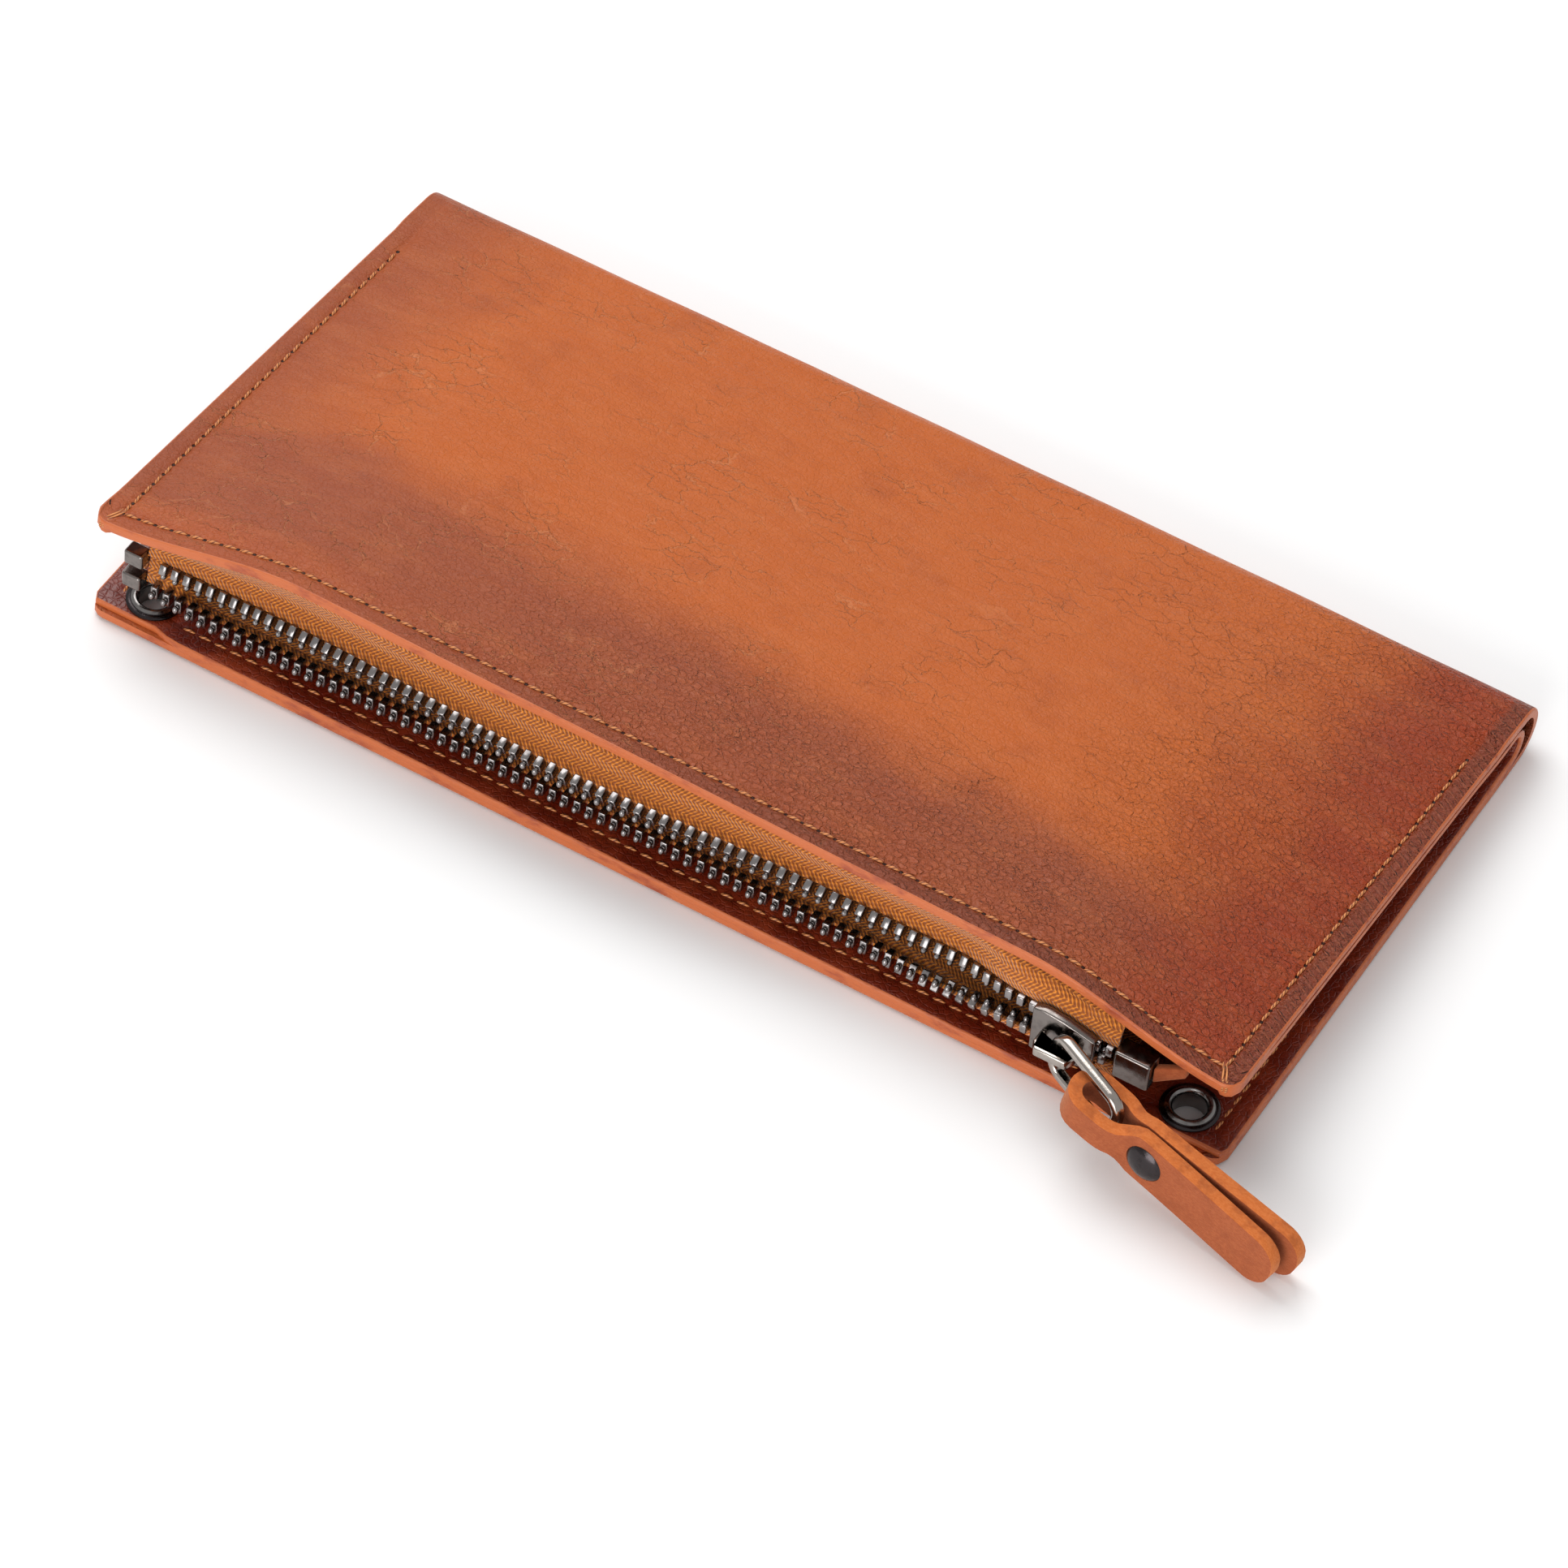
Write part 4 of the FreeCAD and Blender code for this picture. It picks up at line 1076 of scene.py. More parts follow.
class InnerLining:
    """The lining: one skin from the back's near edge, round inside the fold, to the pouch's lip."""

    fold_steps: int = 12
    front_steps: int = 34
    back_steps: int = 34

    def __init__(self, finishes: Finishes) -> None:
        """Lay the skin, thicken it and cut the eyelet holes.

        Args:
            finishes: the materials.
        """
        self.columns = across_both_ends(2.2)
        near = steps_from_edge(9.0, 1.0)[:-1]
        self.rows = [(Stretch.EDGE, d) for d in near]
        self.rows += [(Stretch.BACK, i / self.back_steps) for i in range(self.back_steps)]
        self.rows += [(Stretch.FOLD, i / self.fold_steps) for i in range(self.fold_steps + 1)]
        self.rows += [(Stretch.FRONT, i / self.front_steps) for i in range(1, self.front_steps + 1)]
        piece = grid_piece("inner_lining", len(self.columns), len(self.rows), self.place)
        lay_uv(piece, len(self.columns), len(self.rows), lambda c, r: (self.columns[c], r * 2.0))
        dress(piece, finishes.lining, finishes.paint)
        slab(piece, FORM.lining_thick, 0.35, 0.06, 2)
        punch(piece, 3.12)
        soften(piece, 50.0)
        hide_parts("inner_lining_back", "inner_lining_front")
        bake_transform(piece)

    def place(self, column: int, row: int) -> Point:
        """Point of the face that shows when the wallet is open.

        Args:
            column: position along the wallet.
            row: position along the skin.
        Returns:
            The point in millimetres.
        """
        x = self.columns[column]
        kind, share = self.rows[row]
        low, high = FORM.cover_thick + FORM.lining_thick, FORM.fold_radius + FORM.lining_inner_radius
        side = FORM.half - abs(x)
        if kind in (Stretch.EDGE, Stretch.BACK):
            near_y = -FORM.near_back + 0.9 * smooth((abs(x) - 81.4) / 0.6)
            run = FORM.lining_fold_y - near_y - 9.0
            y = near_y + share if kind is Stretch.EDGE else near_y + 9.0 + share * run
            sewn = min(y - near_y, side if y < 32 else 20.0)
            pull = max(0.0, FORM.pull(x) - 0.9) * (1 - smooth((y - near_y) / 9.0))
            return (x, y + pull, low + min(0.0, seam_relief(sewn) * 0.5))
        if kind is Stretch.FOLD:
            angle = math.radians(-90) + share * math.pi
            reach = FORM.lining_inner_radius
            return (x, FORM.lining_fold_y + reach * math.cos(angle), FORM.fold_radius + reach * math.sin(angle))
        lip_y, _ = FORM.lining_edge(x)
        y = FORM.lining_fold_y + share * (lip_y - FORM.lining_fold_y)
        under = FORM.lining_height(x, y) - FORM.lining_thick - 0.06
        calm = smooth((FORM.lining_fold_y - y) / 14.0)
        pull = FORM.pull(x) * smooth(share * 6.0 - 5.0)
        return (x, y + pull, high + calm * (under - high))


class Stitching:
    """Every sewn line of twisted thread."""

    thickness: float = 0.46

    def __init__(self, finishes: Finishes) -> None:
        """Sew the front, the back and the two corner tacks.

        Args:
            finishes: the materials.
        """
        self.thread = finishes.thread
        half, pitch = FORM.half - FORM.seam_inset, STITCH_PITCH
        near = [self.on_front(k * pitch, FORM.seam_inset) for k in range(-34, 35)]
        hand_over(self.sew("front_near_stitches", near, 0.1), "front_half", "thread", "front_thread_near")
        for way, name in ((-1, "left"), (1, "right")):
            line = [self.on_front(way * half, FORM.seam_inset + k * pitch) for k in range(29)]
            piece = self.sew(f"front_{name}_stitches", line, way * -0.1)
            hand_over(piece, "front_half", "thread", f"front_thread_{name}")
            line = [(way * half, -44.4 + k * pitch, 2.62) for k in range(28)]
            piece = self.sew(f"back_{name}_stitches", line, way * -0.1)
            hand_over(piece, "back_half", "thread", f"back_thread_{name}")
            x, y = way * (FORM.half - 1.5), -FORM.front_near_y + 1.6
            z = FORM.cover_height(way * half, y)
            bridge = [(way * half, y + 1.9, z + 0.05), (x, y - 1.3, z - 0.6), (x, y - 1.5, z - 1.7)]
            corner = [
                (way * (half - 0.5), y + 1.9, z + 0.05),
                (x - way * 0.6, y - 1.35, z - 0.5),
                (x - way * 0.5, y - 1.52, z - 1.6),
            ]
            piece = self.join_runs(f"corner_stitch_{name}", [bridge, corner])
            hand_over(piece, "front_half", "thread")
        line = [(-80.7 + k * pitch, -45.2, 2.62) for k in range(60)]
        hand_over(self.sew("back_near_stitches", line, 0.1), "back_half", "thread", "back_thread_near")

    def on_front(self, x: float, away: float) -> Point:
        """Point in the sewing groove of the front cover."""
        edge_y, _ = FORM.cover_edge(x)
        y = edge_y + away * math.cos(FORM.lean(x))
        return (x, y, FORM.cover_height(x, y) + seam_relief(FORM.seam_inset) + 0.2)

    def stitch(self) -> bpy.types.Object:
        """One stitch round the origin, along X, a millimetre long and thick as the thread.

        Returns:
            The stitch.
        """
        bpy.ops.object.select_all(action="DESELECT")
        bpy.ops.mesh.primitive_cylinder_add(vertices=6, radius=0.5 * MM, depth=1.0 * MM, end_fill_type="TRIFAN",
                                            rotation=(0, math.pi / 2, 0))
        piece = bpy.context.object
        settle(piece)
        with editing(piece, "EDGE"):
            for edge in piece.data.edges:
                a, b = (piece.data.vertices[i].co for i in edge.vertices)
                edge.select = abs(a.x - b.x) > 0.9 * MM
            bpy.ops.object.mode_set(mode="EDIT")
            bpy.ops.mesh.subdivide(number_cuts=3)
        for vertex in piece.data.vertices:
            share = abs(vertex.co.x) / (0.5 * MM)
            slim = 1.0 - 0.5 * share**4
            vertex.co.y *= slim
            vertex.co.z = vertex.co.z * slim - 0.55 * MM * share**3
        return piece

    def sew(self, name: str, holes: list[Point], slant: float) -> bpy.types.Object:
        """Stitches from hole to hole.

        Args:
            name: the piece's name.
            holes: the holes in order.
            slant: turn of each stitch against the line, in radians.
        Returns:
            The piece.
        """
        places = []
        for start, end in zip(holes, holes[1:]):
            a, b = Vector(start), Vector(end)
            way = (b - a).normalized()
            aside = Vector((0, 0, 1)).cross(way).normalized()
            up = way.cross(aside)
            turned = (way * math.cos(slant) + aside * math.sin(slant)).normalized()
            aside = up.cross(turned)
            frame_of = Matrix((turned, aside, up)).transposed().to_4x4()
            size = Matrix.Diagonal(((b - a).length * 0.8, self.thickness, self.thickness, 1.0))
            places.append(Matrix.Translation((a + b) / 2 * MM) @ frame_of @ size)
        piece = scatter(name, self.stitch(), places)
        dress(piece, self.thread)
        soften(piece, 60.0)
        return piece

    def join_runs(self, name: str, runs: list[list[Point]]) -> bpy.types.Object:
        """Threads that follow routes of points.

        Args:
            name: the piece's name.
            runs: the routes.
        Returns:
            The piece.
        """
        pieces = []
        for run in runs:
            smooth_run = rounded_route(run, 0.8, 4)
            pieces.append(tube(name, smooth_run, self.thickness / 2, 8))
        choose(*pieces)
        bpy.ops.object.join()
        piece = bpy.context.object
        piece.name = name
        dress(piece, self.thread)
        soften(piece, 60.0)
        return piece


def rounded_route(points: list[Point], radius: float, steps: int) -> list[Point]:
    """Route with its bends rounded.

    Args:
        points: the corners.
        radius: how far from each corner the bend starts.
        steps: points on each bend.
    Returns:
        The finer route.
    """
    route = [points[0]]
    for before, corner, after in zip(points, points[1:], points[2:]):
        a, c, b = Vector(before), Vector(corner), Vector(after)
        start = c + (a - c).normalized() * min(radius, (a - c).length / 2)
        end = c + (b - c).normalized() * min(radius, (b - c).length / 2)
        for i in range(steps + 1):
            t = i / steps
            route.append(tuple((1 - t) ** 2 * start + 2 * t * (1 - t) * c + t * t * end))
    return route + [points[-1]]


def tube(name: str, route: list[Point], radius: float, sides: int) -> bpy.types.Object:
    """Round cord along a route.

    Args:
        name: the piece's name.
        route: its middle, in millimetres.
        radius: its radius.
        sides: faces around it.
    Returns:
        The cord.
    """
    points = [Vector(p) for p in route]

    def place(column: int, row: int) -> Point:
        """Point at a column and a row."""
        way = (points[min(row + 1, len(points) - 1)] - points[max(row - 1, 0)]).normalized()
        first = way.orthogonal().normalized() if abs(way.z) > 0.9 else way.cross(Vector((0, 0, 1))).normalized()
        second = way.cross(first)
        angle = -2 * math.pi * column / sides
        slim = 0.5 if row in (0, len(points) - 1) else 1.0
        return tuple(points[row] + slim * radius * (math.cos(angle) * first + math.sin(angle) * second))

    piece = grid_piece(name, sides + 1, len(points), place)
    lay_uv(piece, sides + 1, len(points), lambda c, r: (c / sides * 1000.0, r * 250.0))
    with editing(piece):
        bpy.ops.object.mode_set(mode="EDIT")
        bpy.ops.mesh.select_all(action="SELECT")
        bpy.ops.mesh.remove_doubles(threshold=0.001 * MM)
        bpy.ops.mesh.normals_make_consistent(inside=False)
    return piece


# ------------------------------------------------------------------ the pouch and its zip


class ZipForm:
    """Where the two tapes and their teeth run."""

    mouth: float = 63.6
    start: float = -87.0
    end: float = 76.6
    tape: float = 0.6
    reach: float = 1.35

    def tooth(self, open_mid: Pair, open_angle: float, closed_root: Pair, closed: float, up: int) -> tuple[Pair, Pair]:
        """Root of a tooth and the way that the tape points there, in the section across the zip.

        Args:
            open_mid: middle of an open tooth.
            open_angle: how far an open tooth points forward, in degrees.
            closed_root: root of a meshed tooth.
            closed: 0 open, 1 meshed.
            up: 1 for the row below, -1 for the row above.
        Returns:
            The root and the direction.
        """
        turn = math.radians(open_angle * (1 - closed))
        way = (-math.sin(turn), up * math.cos(turn))
        open_root = (open_mid[0] - self.reach * way[0], open_mid[1] - self.reach * way[1])
        return mix(open_root, closed_root, closed), way

    def spread(self, x: float) -> float:
        """How far the rows part inside the slider."""
        return 1.5 * min(1.0, max(0.0, (71.8 - x) / 6.0))

    def upper(self, x: float) -> tuple[Pair, Pair]:
        """Root and direction of the upper row at x."""
        lift = math.sin(math.pi * (x + 88) / 150) if x < 62 else 0.0
        wobble = 0.25 * math.sin(x / 9.0) * (1 - smooth((x - 40) / 20))
        closed = smooth((x - 49.6) / 14)
        return self.tooth((-45 - 4.4 * lift**2, 12.3 + 3.4 * lift + wobble), 20 + 50 * lift,
                          (-47.3, 14 + self.spread(x)), closed, -1)

    def lower(self, x: float) -> tuple[Pair, Pair]:
        """Root and direction of the lower row at x."""
        wobble = 0.2 * math.sin(x / 7.5 + 1.0) * (1 - smooth((x - 20) / 20))
        return self.tooth((-46.2, 7.4 + smooth((-75 - x) / 12) + wobble), 90.0, (-47.3, 10 - self.spread(x)),
                          smooth((x - 30.6) / 33), 1)


ZIP = ZipForm()


class Tapes:
    """The two woven tapes, from their seams to the teeth."""

    stations: int = 100

    def __init__(self, finishes: Finishes) -> None:
        """Lay both tapes.

        Args:
            finishes: the materials.
        """
        for name, route in (("zip_tape_upper", self.upper), ("zip_tape_lower", self.lower)):
            self.lay(name, route, finishes.tape)

    def lay(self, name: str, route: Callable[[float], list[Pair]], material: bpy.types.Material) -> None:
        """Lay one tape along its middle route and give it a thickness with rounded edges.

        Args:
            name: the tape's node.
            route: its section at x, from the seam to the teeth.
            material: the woven material.
        """
        xs = [ZIP.start + (ZIP.end - ZIP.start) * i / self.stations for i in range(self.stations + 1)]
        sections = [rounded_route([(0.0, *p) for p in route(x)], 1.6, 5) for x in xs]
        rows = len(sections[0])
        lengths = []
        for section in sections:
            run = [0.0]
            for a, b in zip(reversed(section), reversed(section[:-1])):
                run.append(run[-1] + math.dist(a, b))
            lengths.append(run[::-1])
        piece = grid_piece(name + "_cloth", len(xs), rows, lambda c, r: (xs[c], *sections[c][r][1:]))
        lay_uv(piece, len(xs), rows, lambda c, r: (xs[c], lengths[c][r]))
        apply(piece, "SOLIDIFY", thickness=(ZIP.tape - 0.04) * MM, offset=0.0, use_even_offset=False)
        apply(piece, "BEVEL", width=0.16 * MM, segments=2, limit_method="ANGLE", angle_limit=math.radians(60))
        dress(piece, material)
        soften(piece, 60.0)
        hand_over(piece, "front_half", "zip_tape", name)

    def upper(self, x: float) -> list[Pair]:
        """Middle of the upper tape in section.

        Args:
            x: place along the wallet.
        Returns:
            Points from the sewn edge to the teeth.
        """
        root, way = ZIP.upper(x)
        under = FORM.cover_thick + ZIP.tape / 2 + 0.03
        edge = FORM.cover_edge(x)[0] + FORM.pull(x) + 0.7
        top = FORM.cover_height(x, edge, under) - 0.1
        reach = 0.45 * max(0.6, top - root[1])
        knee = (root[0] - reach * way[0], root[1] - reach * way[1])
        return [(-38.3, FORM.cover_height(x, -38.3, under) - 0.1), (edge, top), knee, root]

    def lower(self, x: float) -> list[Pair]:
        """Middle of the lower tape in section.

        Args:
            x: place along the wallet.
        Returns:
            Points from the sewn edge to the teeth.
        """
        root, way = ZIP.lower(x)
        closed = smooth((x - ZIP.mouth + 33.0) / 33.0)
        lip_y, lip_z = FORM.lining_edge(x)
        lift = ZIP.tape / 2 + 0.1
        knee_open = ((lip_y + root[0]) / 2, (lip_z + lift + root[1]) / 2)
        knee = mix(knee_open, (-47.3, min(lip_z, FORM.pouch_floor)), closed)
        return [(-36.3, FORM.lining_height(x, -36.3) + lift), (lip_y + 0.2, lip_z + lift), knee, root]


class Teeth:
    """Two rows of cast teeth, each gripping its tape's edge."""

    count: int = 78
    pitch: float = 2.07
    first: float = 75.6

    def __init__(self, finishes: Finishes) -> None:
        """Set both rows.

        Args:
            finishes: the materials.
        """
        for name, row, shift in (("zip_teeth_upper", ZIP.upper, 0.0), ("zip_teeth_lower", ZIP.lower, self.pitch / 2)):
            places = []
            for i in range(self.count):
                x = self.first - shift - i * self.pitch
                (y, z), (out, up) = row(x)
                turn = Matrix.Rotation(-math.atan2(-out, -up), 4, "X")
                places.append(Matrix.Translation(Vector((x, y + 0.03 * out, z + 0.03 * up)) * MM) @ turn)
            piece = scatter(name + "_cast", self.tooth(), places)
            dress(piece, finishes.teeth, finishes.dark)
            soften(piece, 38.0)
            hand_over(piece, "front_half", "dark_zip_metal", name)

    def tooth(self) -> bpy.types.Object:
        """One tooth, pointing down from the origin: a clamp with raised faces, and a rounded head.

        Returns:
            The tooth.
        """
        bpy.ops.object.select_all(action="DESELECT")
        bpy.ops.mesh.primitive_cube_add(size=1.0 * MM, location=(0, 0, -0.835 * MM))
        clamp = bpy.context.object
        clamp.scale = (1.12, 2.3, 1.67)
        settle(clamp)
        with editing(clamp, "FACE"):
            for face in clamp.data.polygons:
                face.select = abs(face.normal.y) > 0.9
            bpy.ops.object.mode_set(mode="EDIT")
            bpy.ops.mesh.inset(thickness=0.2 * MM, depth=0.1 * MM, use_individual=True)
        apply(clamp, "BEVEL", width=0.1 * MM, segments=1, limit_method="ANGLE", angle_limit=math.radians(40))
        bpy.ops.object.select_all(action="DESELECT")
        bpy.ops.mesh.primitive_uv_sphere_add(segments=10, ring_count=6, radius=0.5 * MM, location=(0, 0, -2.1 * MM))
        head = bpy.context.object
        head.scale = (0.98, 1.45, 1.15)
        settle(head)
        choose(clamp, head)
        bpy.ops.object.join()
        piece = bpy.context.object
        piece.data.materials.append(None)
        piece.data.materials.append(None)
        # painted light: flat and side faces take the lit teeth metal, the head and end faces its painted shade copy
        for face in piece.data.polygons:
            face.material_index = 0 if abs(face.normal.y) > 0.9 or abs(face.center.x) > 0.4 * MM else 1
        return piece


class ZipHardware:
    """Slider, crown, stops, end box and ring: rounded and polished copies of the hard parts."""

    def __init__(self, finishes: Finishes) -> None:
        """Round and plate each part.

        Args:
            finishes: the materials.
        """
        plan = [
            ("slider_body", "cast_slider", "zip_slider", 0.3, finishes.zip_metal, 3),
            ("slider_crown", "slider_bridge", "zip_slider", 0.28, finishes.polished, 3),
            ("pull_ring", "flat_bar_ring", "pull_ring", 0.42, finishes.polished, 2),
            ("zip_end_box", "end_box", "front_half", 0.12, finishes.zip_metal, 2),
            ("zip_top_stop_upper", "top_stop_upper", "front_half", 0.15, finishes.zip_metal, 2),
            ("zip_top_stop_lower", "top_stop_lower", "front_half", 0.15, finishes.zip_metal, 2),
        ]
        for node, name, body, edge, material, steps in plan:
            piece = from_node(node, name, edge, steps)
            dress(piece, material)
            hand_over(piece, body, "dark_zip_metal")


class Eyelet:
    """Black eyelet with a rolled ring, set through the back half near one corner."""

    def __init__(self, finishes: Finishes, way: int) -> None:
        """Turn the eyelet and its washer.

        Args:
            finishes: the materials.
            way: -1 left, 1 right.
        """
        name = "left" if way < 0 else "right"
        flange = [(2.5, 0.35), (2.5, 3.0), (2.6, 3.45), (2.95, 3.72), (3.35, 3.66), (3.62, 3.38), (3.85, 3.3),
                  (4.2, 3.22), (4.4, 3.05), (4.4, 2.84), (3.06, 2.84), (3.06, 0.55)]
        washer = [
            (3.05, 0.5), (2.62, 0.46), (2.56, 0.12), (2.8, 0.02), (4.1, 0.02), (4.38, 0.2), (4.3, 0.45), (3.05, 0.5),
        ]
        for label, profile, node in (("eyelet", flange, f"eyelet_{name}"), ("washer", washer, f"eyelet_washer_{name}")):
            piece = turned(f"turned_{label}_{name}", profile, (way * FORM.eyelet_x, -FORM.eyelet_y), 48)
            dress(piece, finishes.nickel, finishes.bright)
            # the crest of the rolled ring and the bore are given the lighter nickel
            for face in piece.data.polygons:
                radius = math.hypot(face.center.x - way * FORM.eyelet_x * MM, face.center.y + FORM.eyelet_y * MM) / MM
                face.material_index = int(face.center.z > 3.42 * MM or radius < 2.7)
            hand_over(piece, "back_half", "black_nickel", node)


def turned(name: str, profile: list[Pair], middle: Pair, sides: int) -> bpy.types.Object:
    """Ring turned round a vertical axis.

    Args:
        name: the piece's name.
        profile: radius and height of each point, in millimetres.
        middle: x and y of the axis.
        sides: steps around.
    Returns:
        The ring.
    """

    def place(column: int, row: int) -> Point:
        """Point at a column and a row."""
        angle = 2 * math.pi * column / sides
        radius, height = profile[row]
        return (middle[0] + radius * math.cos(angle), middle[1] + radius * math.sin(angle), height)

    piece = grid_piece(name, sides + 1, len(profile), place)
    with editing(piece):
        bpy.ops.object.mode_set(mode="EDIT")
        bpy.ops.mesh.select_all(action="SELECT")
        bpy.ops.mesh.remove_doubles(threshold=0.001 * MM)
        bpy.ops.mesh.normals_make_consistent(inside=False)
    soften(piece, 40.0)
    return piece


class Pouch:
    """The two cloths of the zipped pouch."""

    def __init__(self, finishes: Finishes) -> None:
        """Lay both cloths.

        Args:
            finishes: the materials.
        """
        self.material = finishes.cloth
        under = FORM.cover_thick + 0.2
        self.lay("upper", (-88.0, 80.0), (-37.9, 30.0), lambda x, y: FORM.cover_height(x, y, under), "outer_leather")
        self.lay("lower", (-88.0, 76.0), (-36.0, 30.0), lambda x, y: FORM.lining_height(x, y) + 0.17, "inner_lining")

    def lay(self, name: str, ends: Pair, sides: Pair, height: Callable[[float, float], float], leather: str) -> None:
        """Lay one cloth on its leather.

        Args:
            name: upper or lower.
            ends: least and greatest x.
            sides: least and greatest y.
            height: height of its middle at x and y.
            leather: the piece that it is sewn to; not used.
        """
        columns, rows = 64, 28
        xs = [ends[0] + (ends[1] - ends[0]) * i / (columns - 1) for i in range(columns)]
        ys = [sides[0] + (sides[1] - sides[0]) * i / (rows - 1) for i in range(rows)]
        piece = grid_piece(
            f"pouch_cloth_{name}_sheet", columns, rows, lambda c, r: (xs[c], ys[r], height(xs[c], ys[r]))
        )
        lay_uv(piece, columns, rows, lambda c, r: (xs[c], ys[r]))
        apply(piece, "SOLIDIFY", thickness=0.22 * MM, offset=0.0)
        dress(piece, self.material)
        soften(piece, 60.0)
        hand_over(piece, "front_half", "pouch_cloth", f"pouch_cloth_{name}")


class CardPockets:
    """Slip and card pockets on the back half's lining, with their seam."""

    def __init__(self, finishes: Finishes) -> None:
        """Round and dress each pocket.

        Args:
            finishes: the materials.
        """
        for node in ("slip_pocket_panel", "card_pocket_back", "card_pocket_middle", "card_pocket_front"):
            piece = from_node(node, node + "_leather", 0.18)
            dress(piece, finishes.lining)
            hand_over(piece, "back_half", "lining_leather")
        piece = from_node("card_pocket_thread", "card_pocket_stitches", 0.1)
        dress(piece, finishes.thread)
        hand_over(piece, "back_half", "thread")


# ------------------------------------------------------------------ the pull


class PullStrap:
    """Leather strip folded round the ring's bar, with its rivet."""

    origin: Point = (81.527, -56.481, 10.003)
    yaw: float = -9.3
    pitch: float = 10.6
    leather: float = 2.0
    width: float = 9.0
    neck: float = 5.0
    back: float = 4.5
    inner: float = 1.9
    near_leg: float = 30.6
    far_leg: float = 32.3
    tip: float = 3.9
    rivet_x: float = 7.0

    def __init__(self, finishes: Finishes) -> None:
        """Fold the strip and set the rivet.

        Args:
            finishes: the materials.
        """
        turn = Euler((0, math.radians(self.pitch), math.radians(self.yaw)), "XYZ").to_matrix().to_4x4()
        self.frame_of = Matrix.Translation(Vector(self.origin) * MM) @ turn
        route = self.route()
        run = [0.0]
        for a, b in zip(route, route[1:]):
            run.append(run[-1] + math.dist(a, b))
        across = [-1.0, -0.94, -0.8, -0.55, -0.28, 0.0, 0.28, 0.55, 0.8, 0.94, 1.0]

        def place(column: int, row: int) -> Point:
            """Point at a column and a row."""
            x, y = route[row]
            wide = self.half_width(x, min(run[row], run[-1] - run[row]))
            return (x, y, -across[column] * wide)

        piece = grid_piece("folded_strap", len(across), len(route), place)
        lay_uv(piece, len(across), len(route), lambda c, r: (across[c] * 4.5, run[r]))
        piece.data.transform(self.frame_of)
        dress(piece, finishes.suede, finishes.suede_edge)
        slab(piece, self.leather, 0.4, 0.15, 2)
        soften(piece, 50.0)
        hand_over(piece, "pull_tab", "strap_leather", "pull_strap")
        face = self.leather + 0.28
        cap = [(0.0, face + 0.95), (0.8, face + 0.92), (1.6, face + 0.78), (2.3, face + 0.5), (2.8, face + 0.2),
               (3.0, face - 0.02)]
        post = [(0.0, face + 0.62), (1.4, face + 0.55), (2.4, face + 0.32), (2.8, face + 0.05), (2.8, face - 0.1)]
        for name, profile, way, node in (("rivet_dome", cap, -1, "rivet_cap"), ("rivet_back", post, 1, "rivet_post")):
            rivet = turned(name, profile, (0.0, 0.0), 32)
            stand = Matrix.Translation(Vector((self.rivet_x, 0, 0)) * MM) @ Matrix.Rotation(way * -math.pi / 2, 4, "X")
            rivet.data.transform(self.frame_of @ stand)
            dress(rivet, finishes.nickel)
            hand_over(rivet, "pull_tab", "black_nickel", node)

    def half_width(self, x: float, from_tip: float) -> float:
        """Half the strip's width, from its place along the strap and its distance to the nearer end."""
        wide = (self.neck + (self.width - self.neck) * smooth((x - 1.6) / 3.8)) / 2
        if from_tip < self.tip:
            wide -= self.tip - math.sqrt(max(0.0, self.tip**2 - (self.tip - from_tip) ** 2))
        return max(0.35, wide)

    def route(self) -> list[Pair]:
        """Outer face of the folded strip in section.

        Returns:
            Points from the far leg's tip, round the bend, to the near leg's tip.
        """

        def leg(end: float) -> list[Pair]:
            """Outer face of one leg of the strip.

            Args:
                end: where its tip is.
            Returns:
                Points from the tip to the bend.
            """
            knots = [(1.0, 3.7), (3.9, 2.15), (9.0, 2.22), (14.0, 2.35), (end, 2.9)]
            fine: list[Pair] = []
            xs = [end - d for d in (0.0, 0.25, 0.6, 1.1, 1.7, 2.5, 3.3, 4.2)]
            x = xs[-1] - 1.5
            while x > -self.back:
                xs.append(x)
                x -= 1.0
            for x in xs:
                y = self.inner + self.leather
                if x > 0.5:
                    y = float(np.interp(x, [0.5] + [k[0] for k in knots], [3.85] + [k[1] for k in knots]))
                fine.append((x, y))
            ys = [p[1] for p in fine]
            for _ in range(2):
                ys = [ys[0]] + [(a + 2 * b + c) / 4 for a, b, c in zip(ys, ys[1:], ys[2:])] + [ys[-1]]
            return [(p[0], y) for p, y in zip(fine, ys)]

        outer = self.inner + self.leather
        turns = [math.pi * i / 12 for i in range(13)]
        bend = [(-self.back - outer * math.sin(t), outer * math.cos(t)) for t in turns]
        near = [(x, -y) for x, y in reversed(leg(self.near_leg))]
        return leg(self.far_leg) + bend + near


class EndTab:
    """Scrap of leather that turns the tape ends in, past the end box."""

    def __init__(self, finishes: Finishes) -> None:
        """Round and dress it.

        Args:
            finishes: the materials.
        """
        piece = from_node("zip_end_tab", "end_tab_leather", 0.3)
        dress(piece, finishes.suede)
        hand_over(piece, "front_half", "strap_leather")


# ------------------------------------------------------------------ floor, light and camera


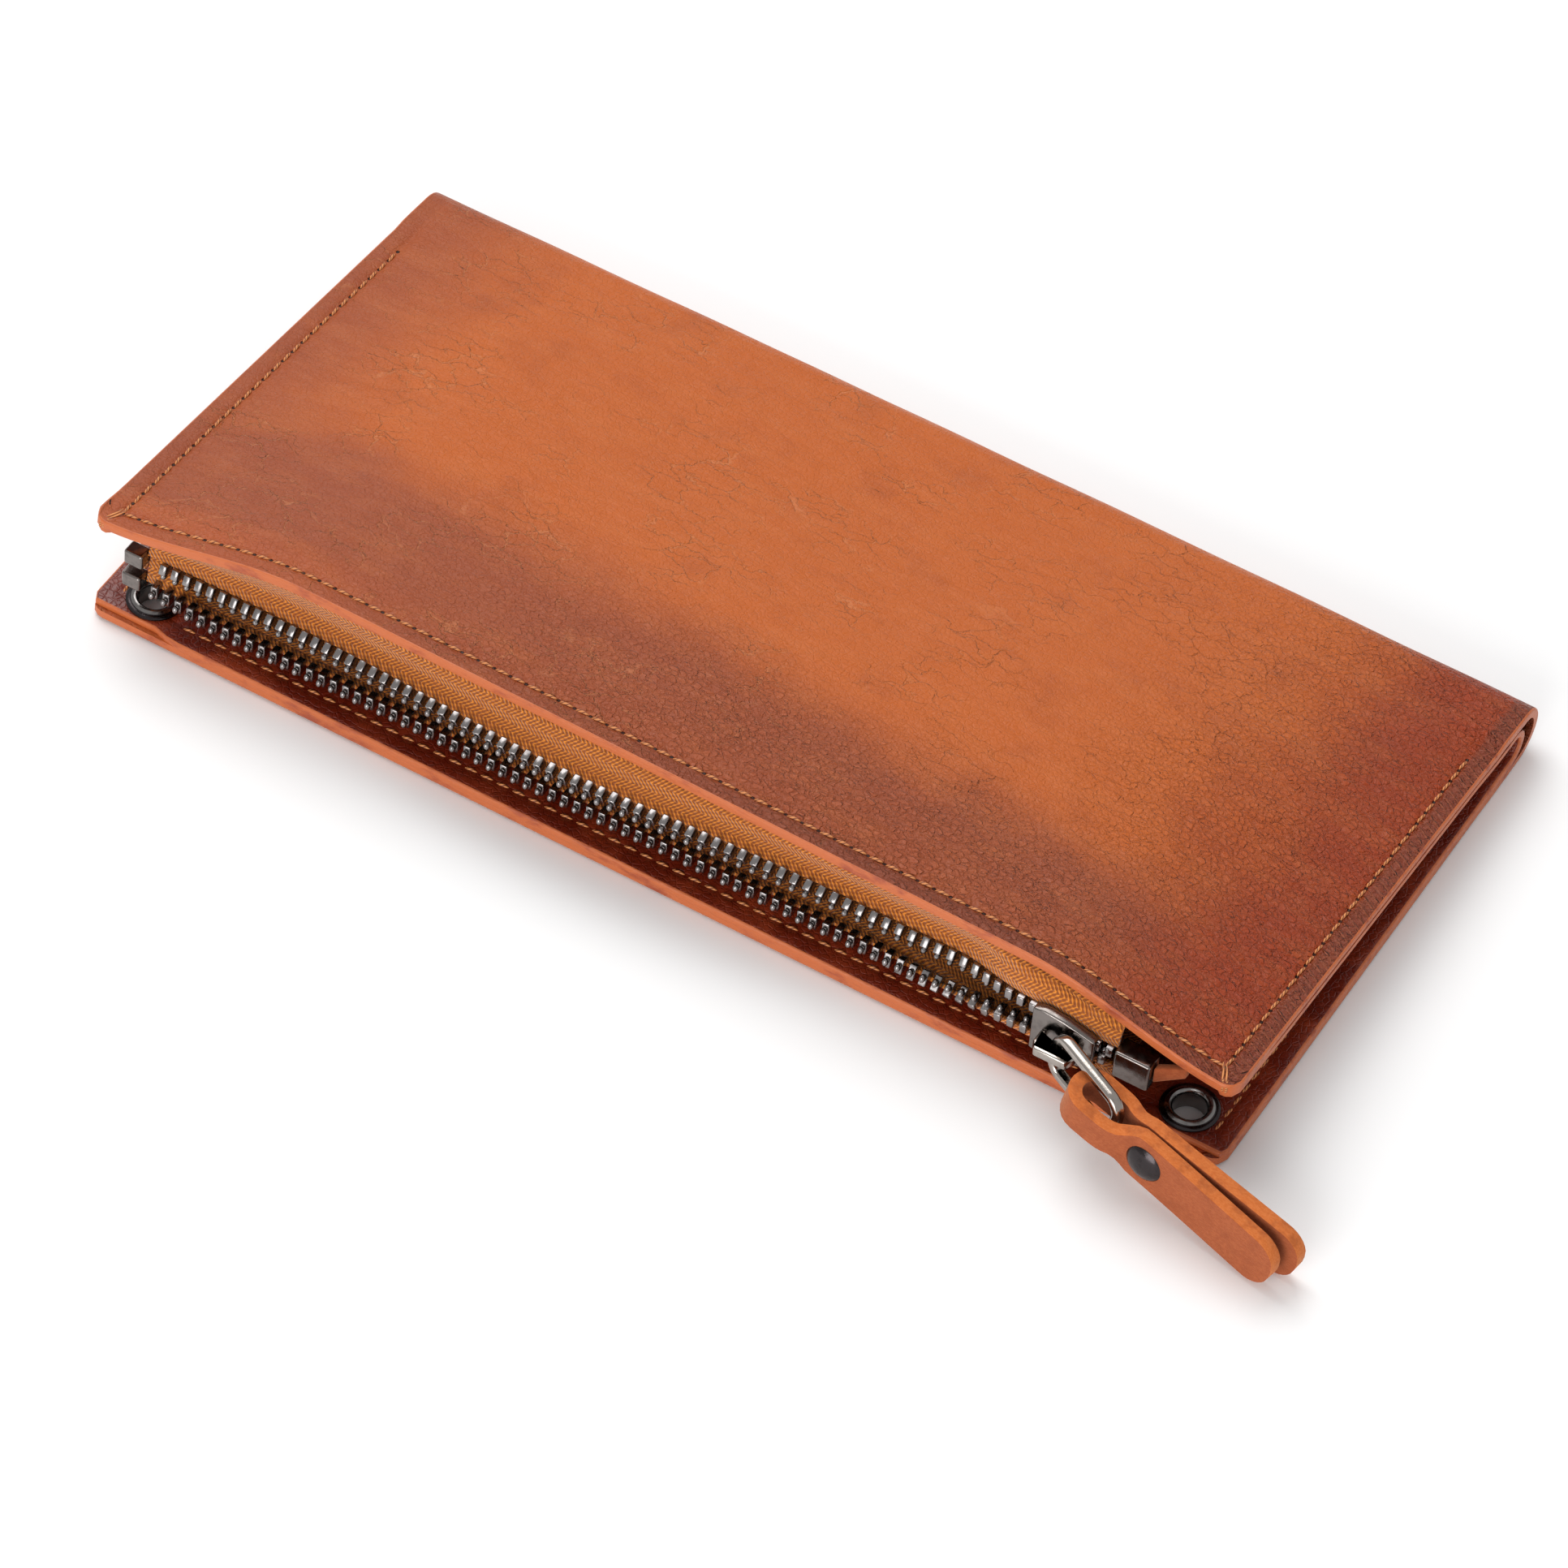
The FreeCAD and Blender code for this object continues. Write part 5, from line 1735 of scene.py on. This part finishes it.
class Studio:
    """Plain pale floor, soft light and the camera."""

    place: Point = (0.3569, -0.7328, 0.8967)
    turn: Point = (41.367, -3.842, 30.482)
    lens: float = 189.2

    def __init__(self) -> None:
        """Set everything up."""
        self.floor()
        self.world()
        self.light("key", (-0.45, 0.35, 0.95), 0.9, 8.0)
        self.light("front", (0.1, -1.0, 0.32), 0.7, 7.0)
        self.camera()
        bpy.context.scene.view_settings.view_transform = "Standard"

    def floor(self) -> None:
        """A wide pale floor, just under the wallet."""
        bpy.ops.object.select_all(action="DESELECT")
        bpy.ops.mesh.primitive_plane_add(size=8.0, location=(0, 0, -0.0003))
        floor = bpy.context.object
        floor.name = "floor"
        settle(floor)
        look = Look("pale_floor")
        skin, *_ = look.skin("Object")
        tone = look.shade(look.noise(skin, 0.01, 2.0), (0.93, 0.93, 0.93, 1.0), (0.96, 0.96, 0.96, 1.0))
        dress(floor, look.finish(Base_Color=tone, Roughness=0.6, Specular_IOR_Level=0.2))

    def world(self) -> None:
        """White surroundings."""
        world = bpy.data.worlds.new("studio")
        world.use_nodes = True
        world.node_tree.nodes["Background"].inputs["Color"].default_value = (1.0, 1.0, 1.0, 1.0)
        world.node_tree.nodes["Background"].inputs["Strength"].default_value = 0.56
        bpy.context.scene.world = world

    def light(self, name: str, place: Point, size: float, power: float) -> None:
        """Soft square lamp that points at the wallet.

        Args:
            name: the lamp's name.
            place: where it is, in metres.
            size: its side in metres.
            power: in watts.
        """
        bpy.ops.object.select_all(action="DESELECT")
        bpy.ops.object.light_add(type="AREA", location=place)
        lamp = bpy.context.object
        lamp.name = name
        lamp.data.size = size
        lamp.data.energy = power
        lamp.rotation_euler = Vector(place).to_track_quat("Z", "Y").to_euler()

    def camera(self) -> None:
        """The camera, looking down on the near edge."""
        bpy.ops.object.select_all(action="DESELECT")
        bpy.ops.object.camera_add(location=self.place, rotation=[math.radians(a) for a in self.turn])
        camera = bpy.context.object
        camera.data.lens = self.lens
        camera.data.clip_start = 0.01
        bpy.context.scene.camera = camera


def main() -> None:
    """Build the wallet piece by piece, then the studio round it."""
    logging.basicConfig(level=logging.INFO, format="%(message)s")
    finishes = Finishes()
    OuterLeather(finishes)
    InnerLining(finishes)
    Pouch(finishes)
    CardPockets(finishes)
    Tapes(finishes)
    Teeth(finishes)
    ZipHardware(finishes)
    EndTab(finishes)
    for way in (-1, 1):
        Eyelet(finishes, way)
    Stitching(finishes)
    PullStrap(finishes)
    Studio()


if __name__ == "__main__":
    main()
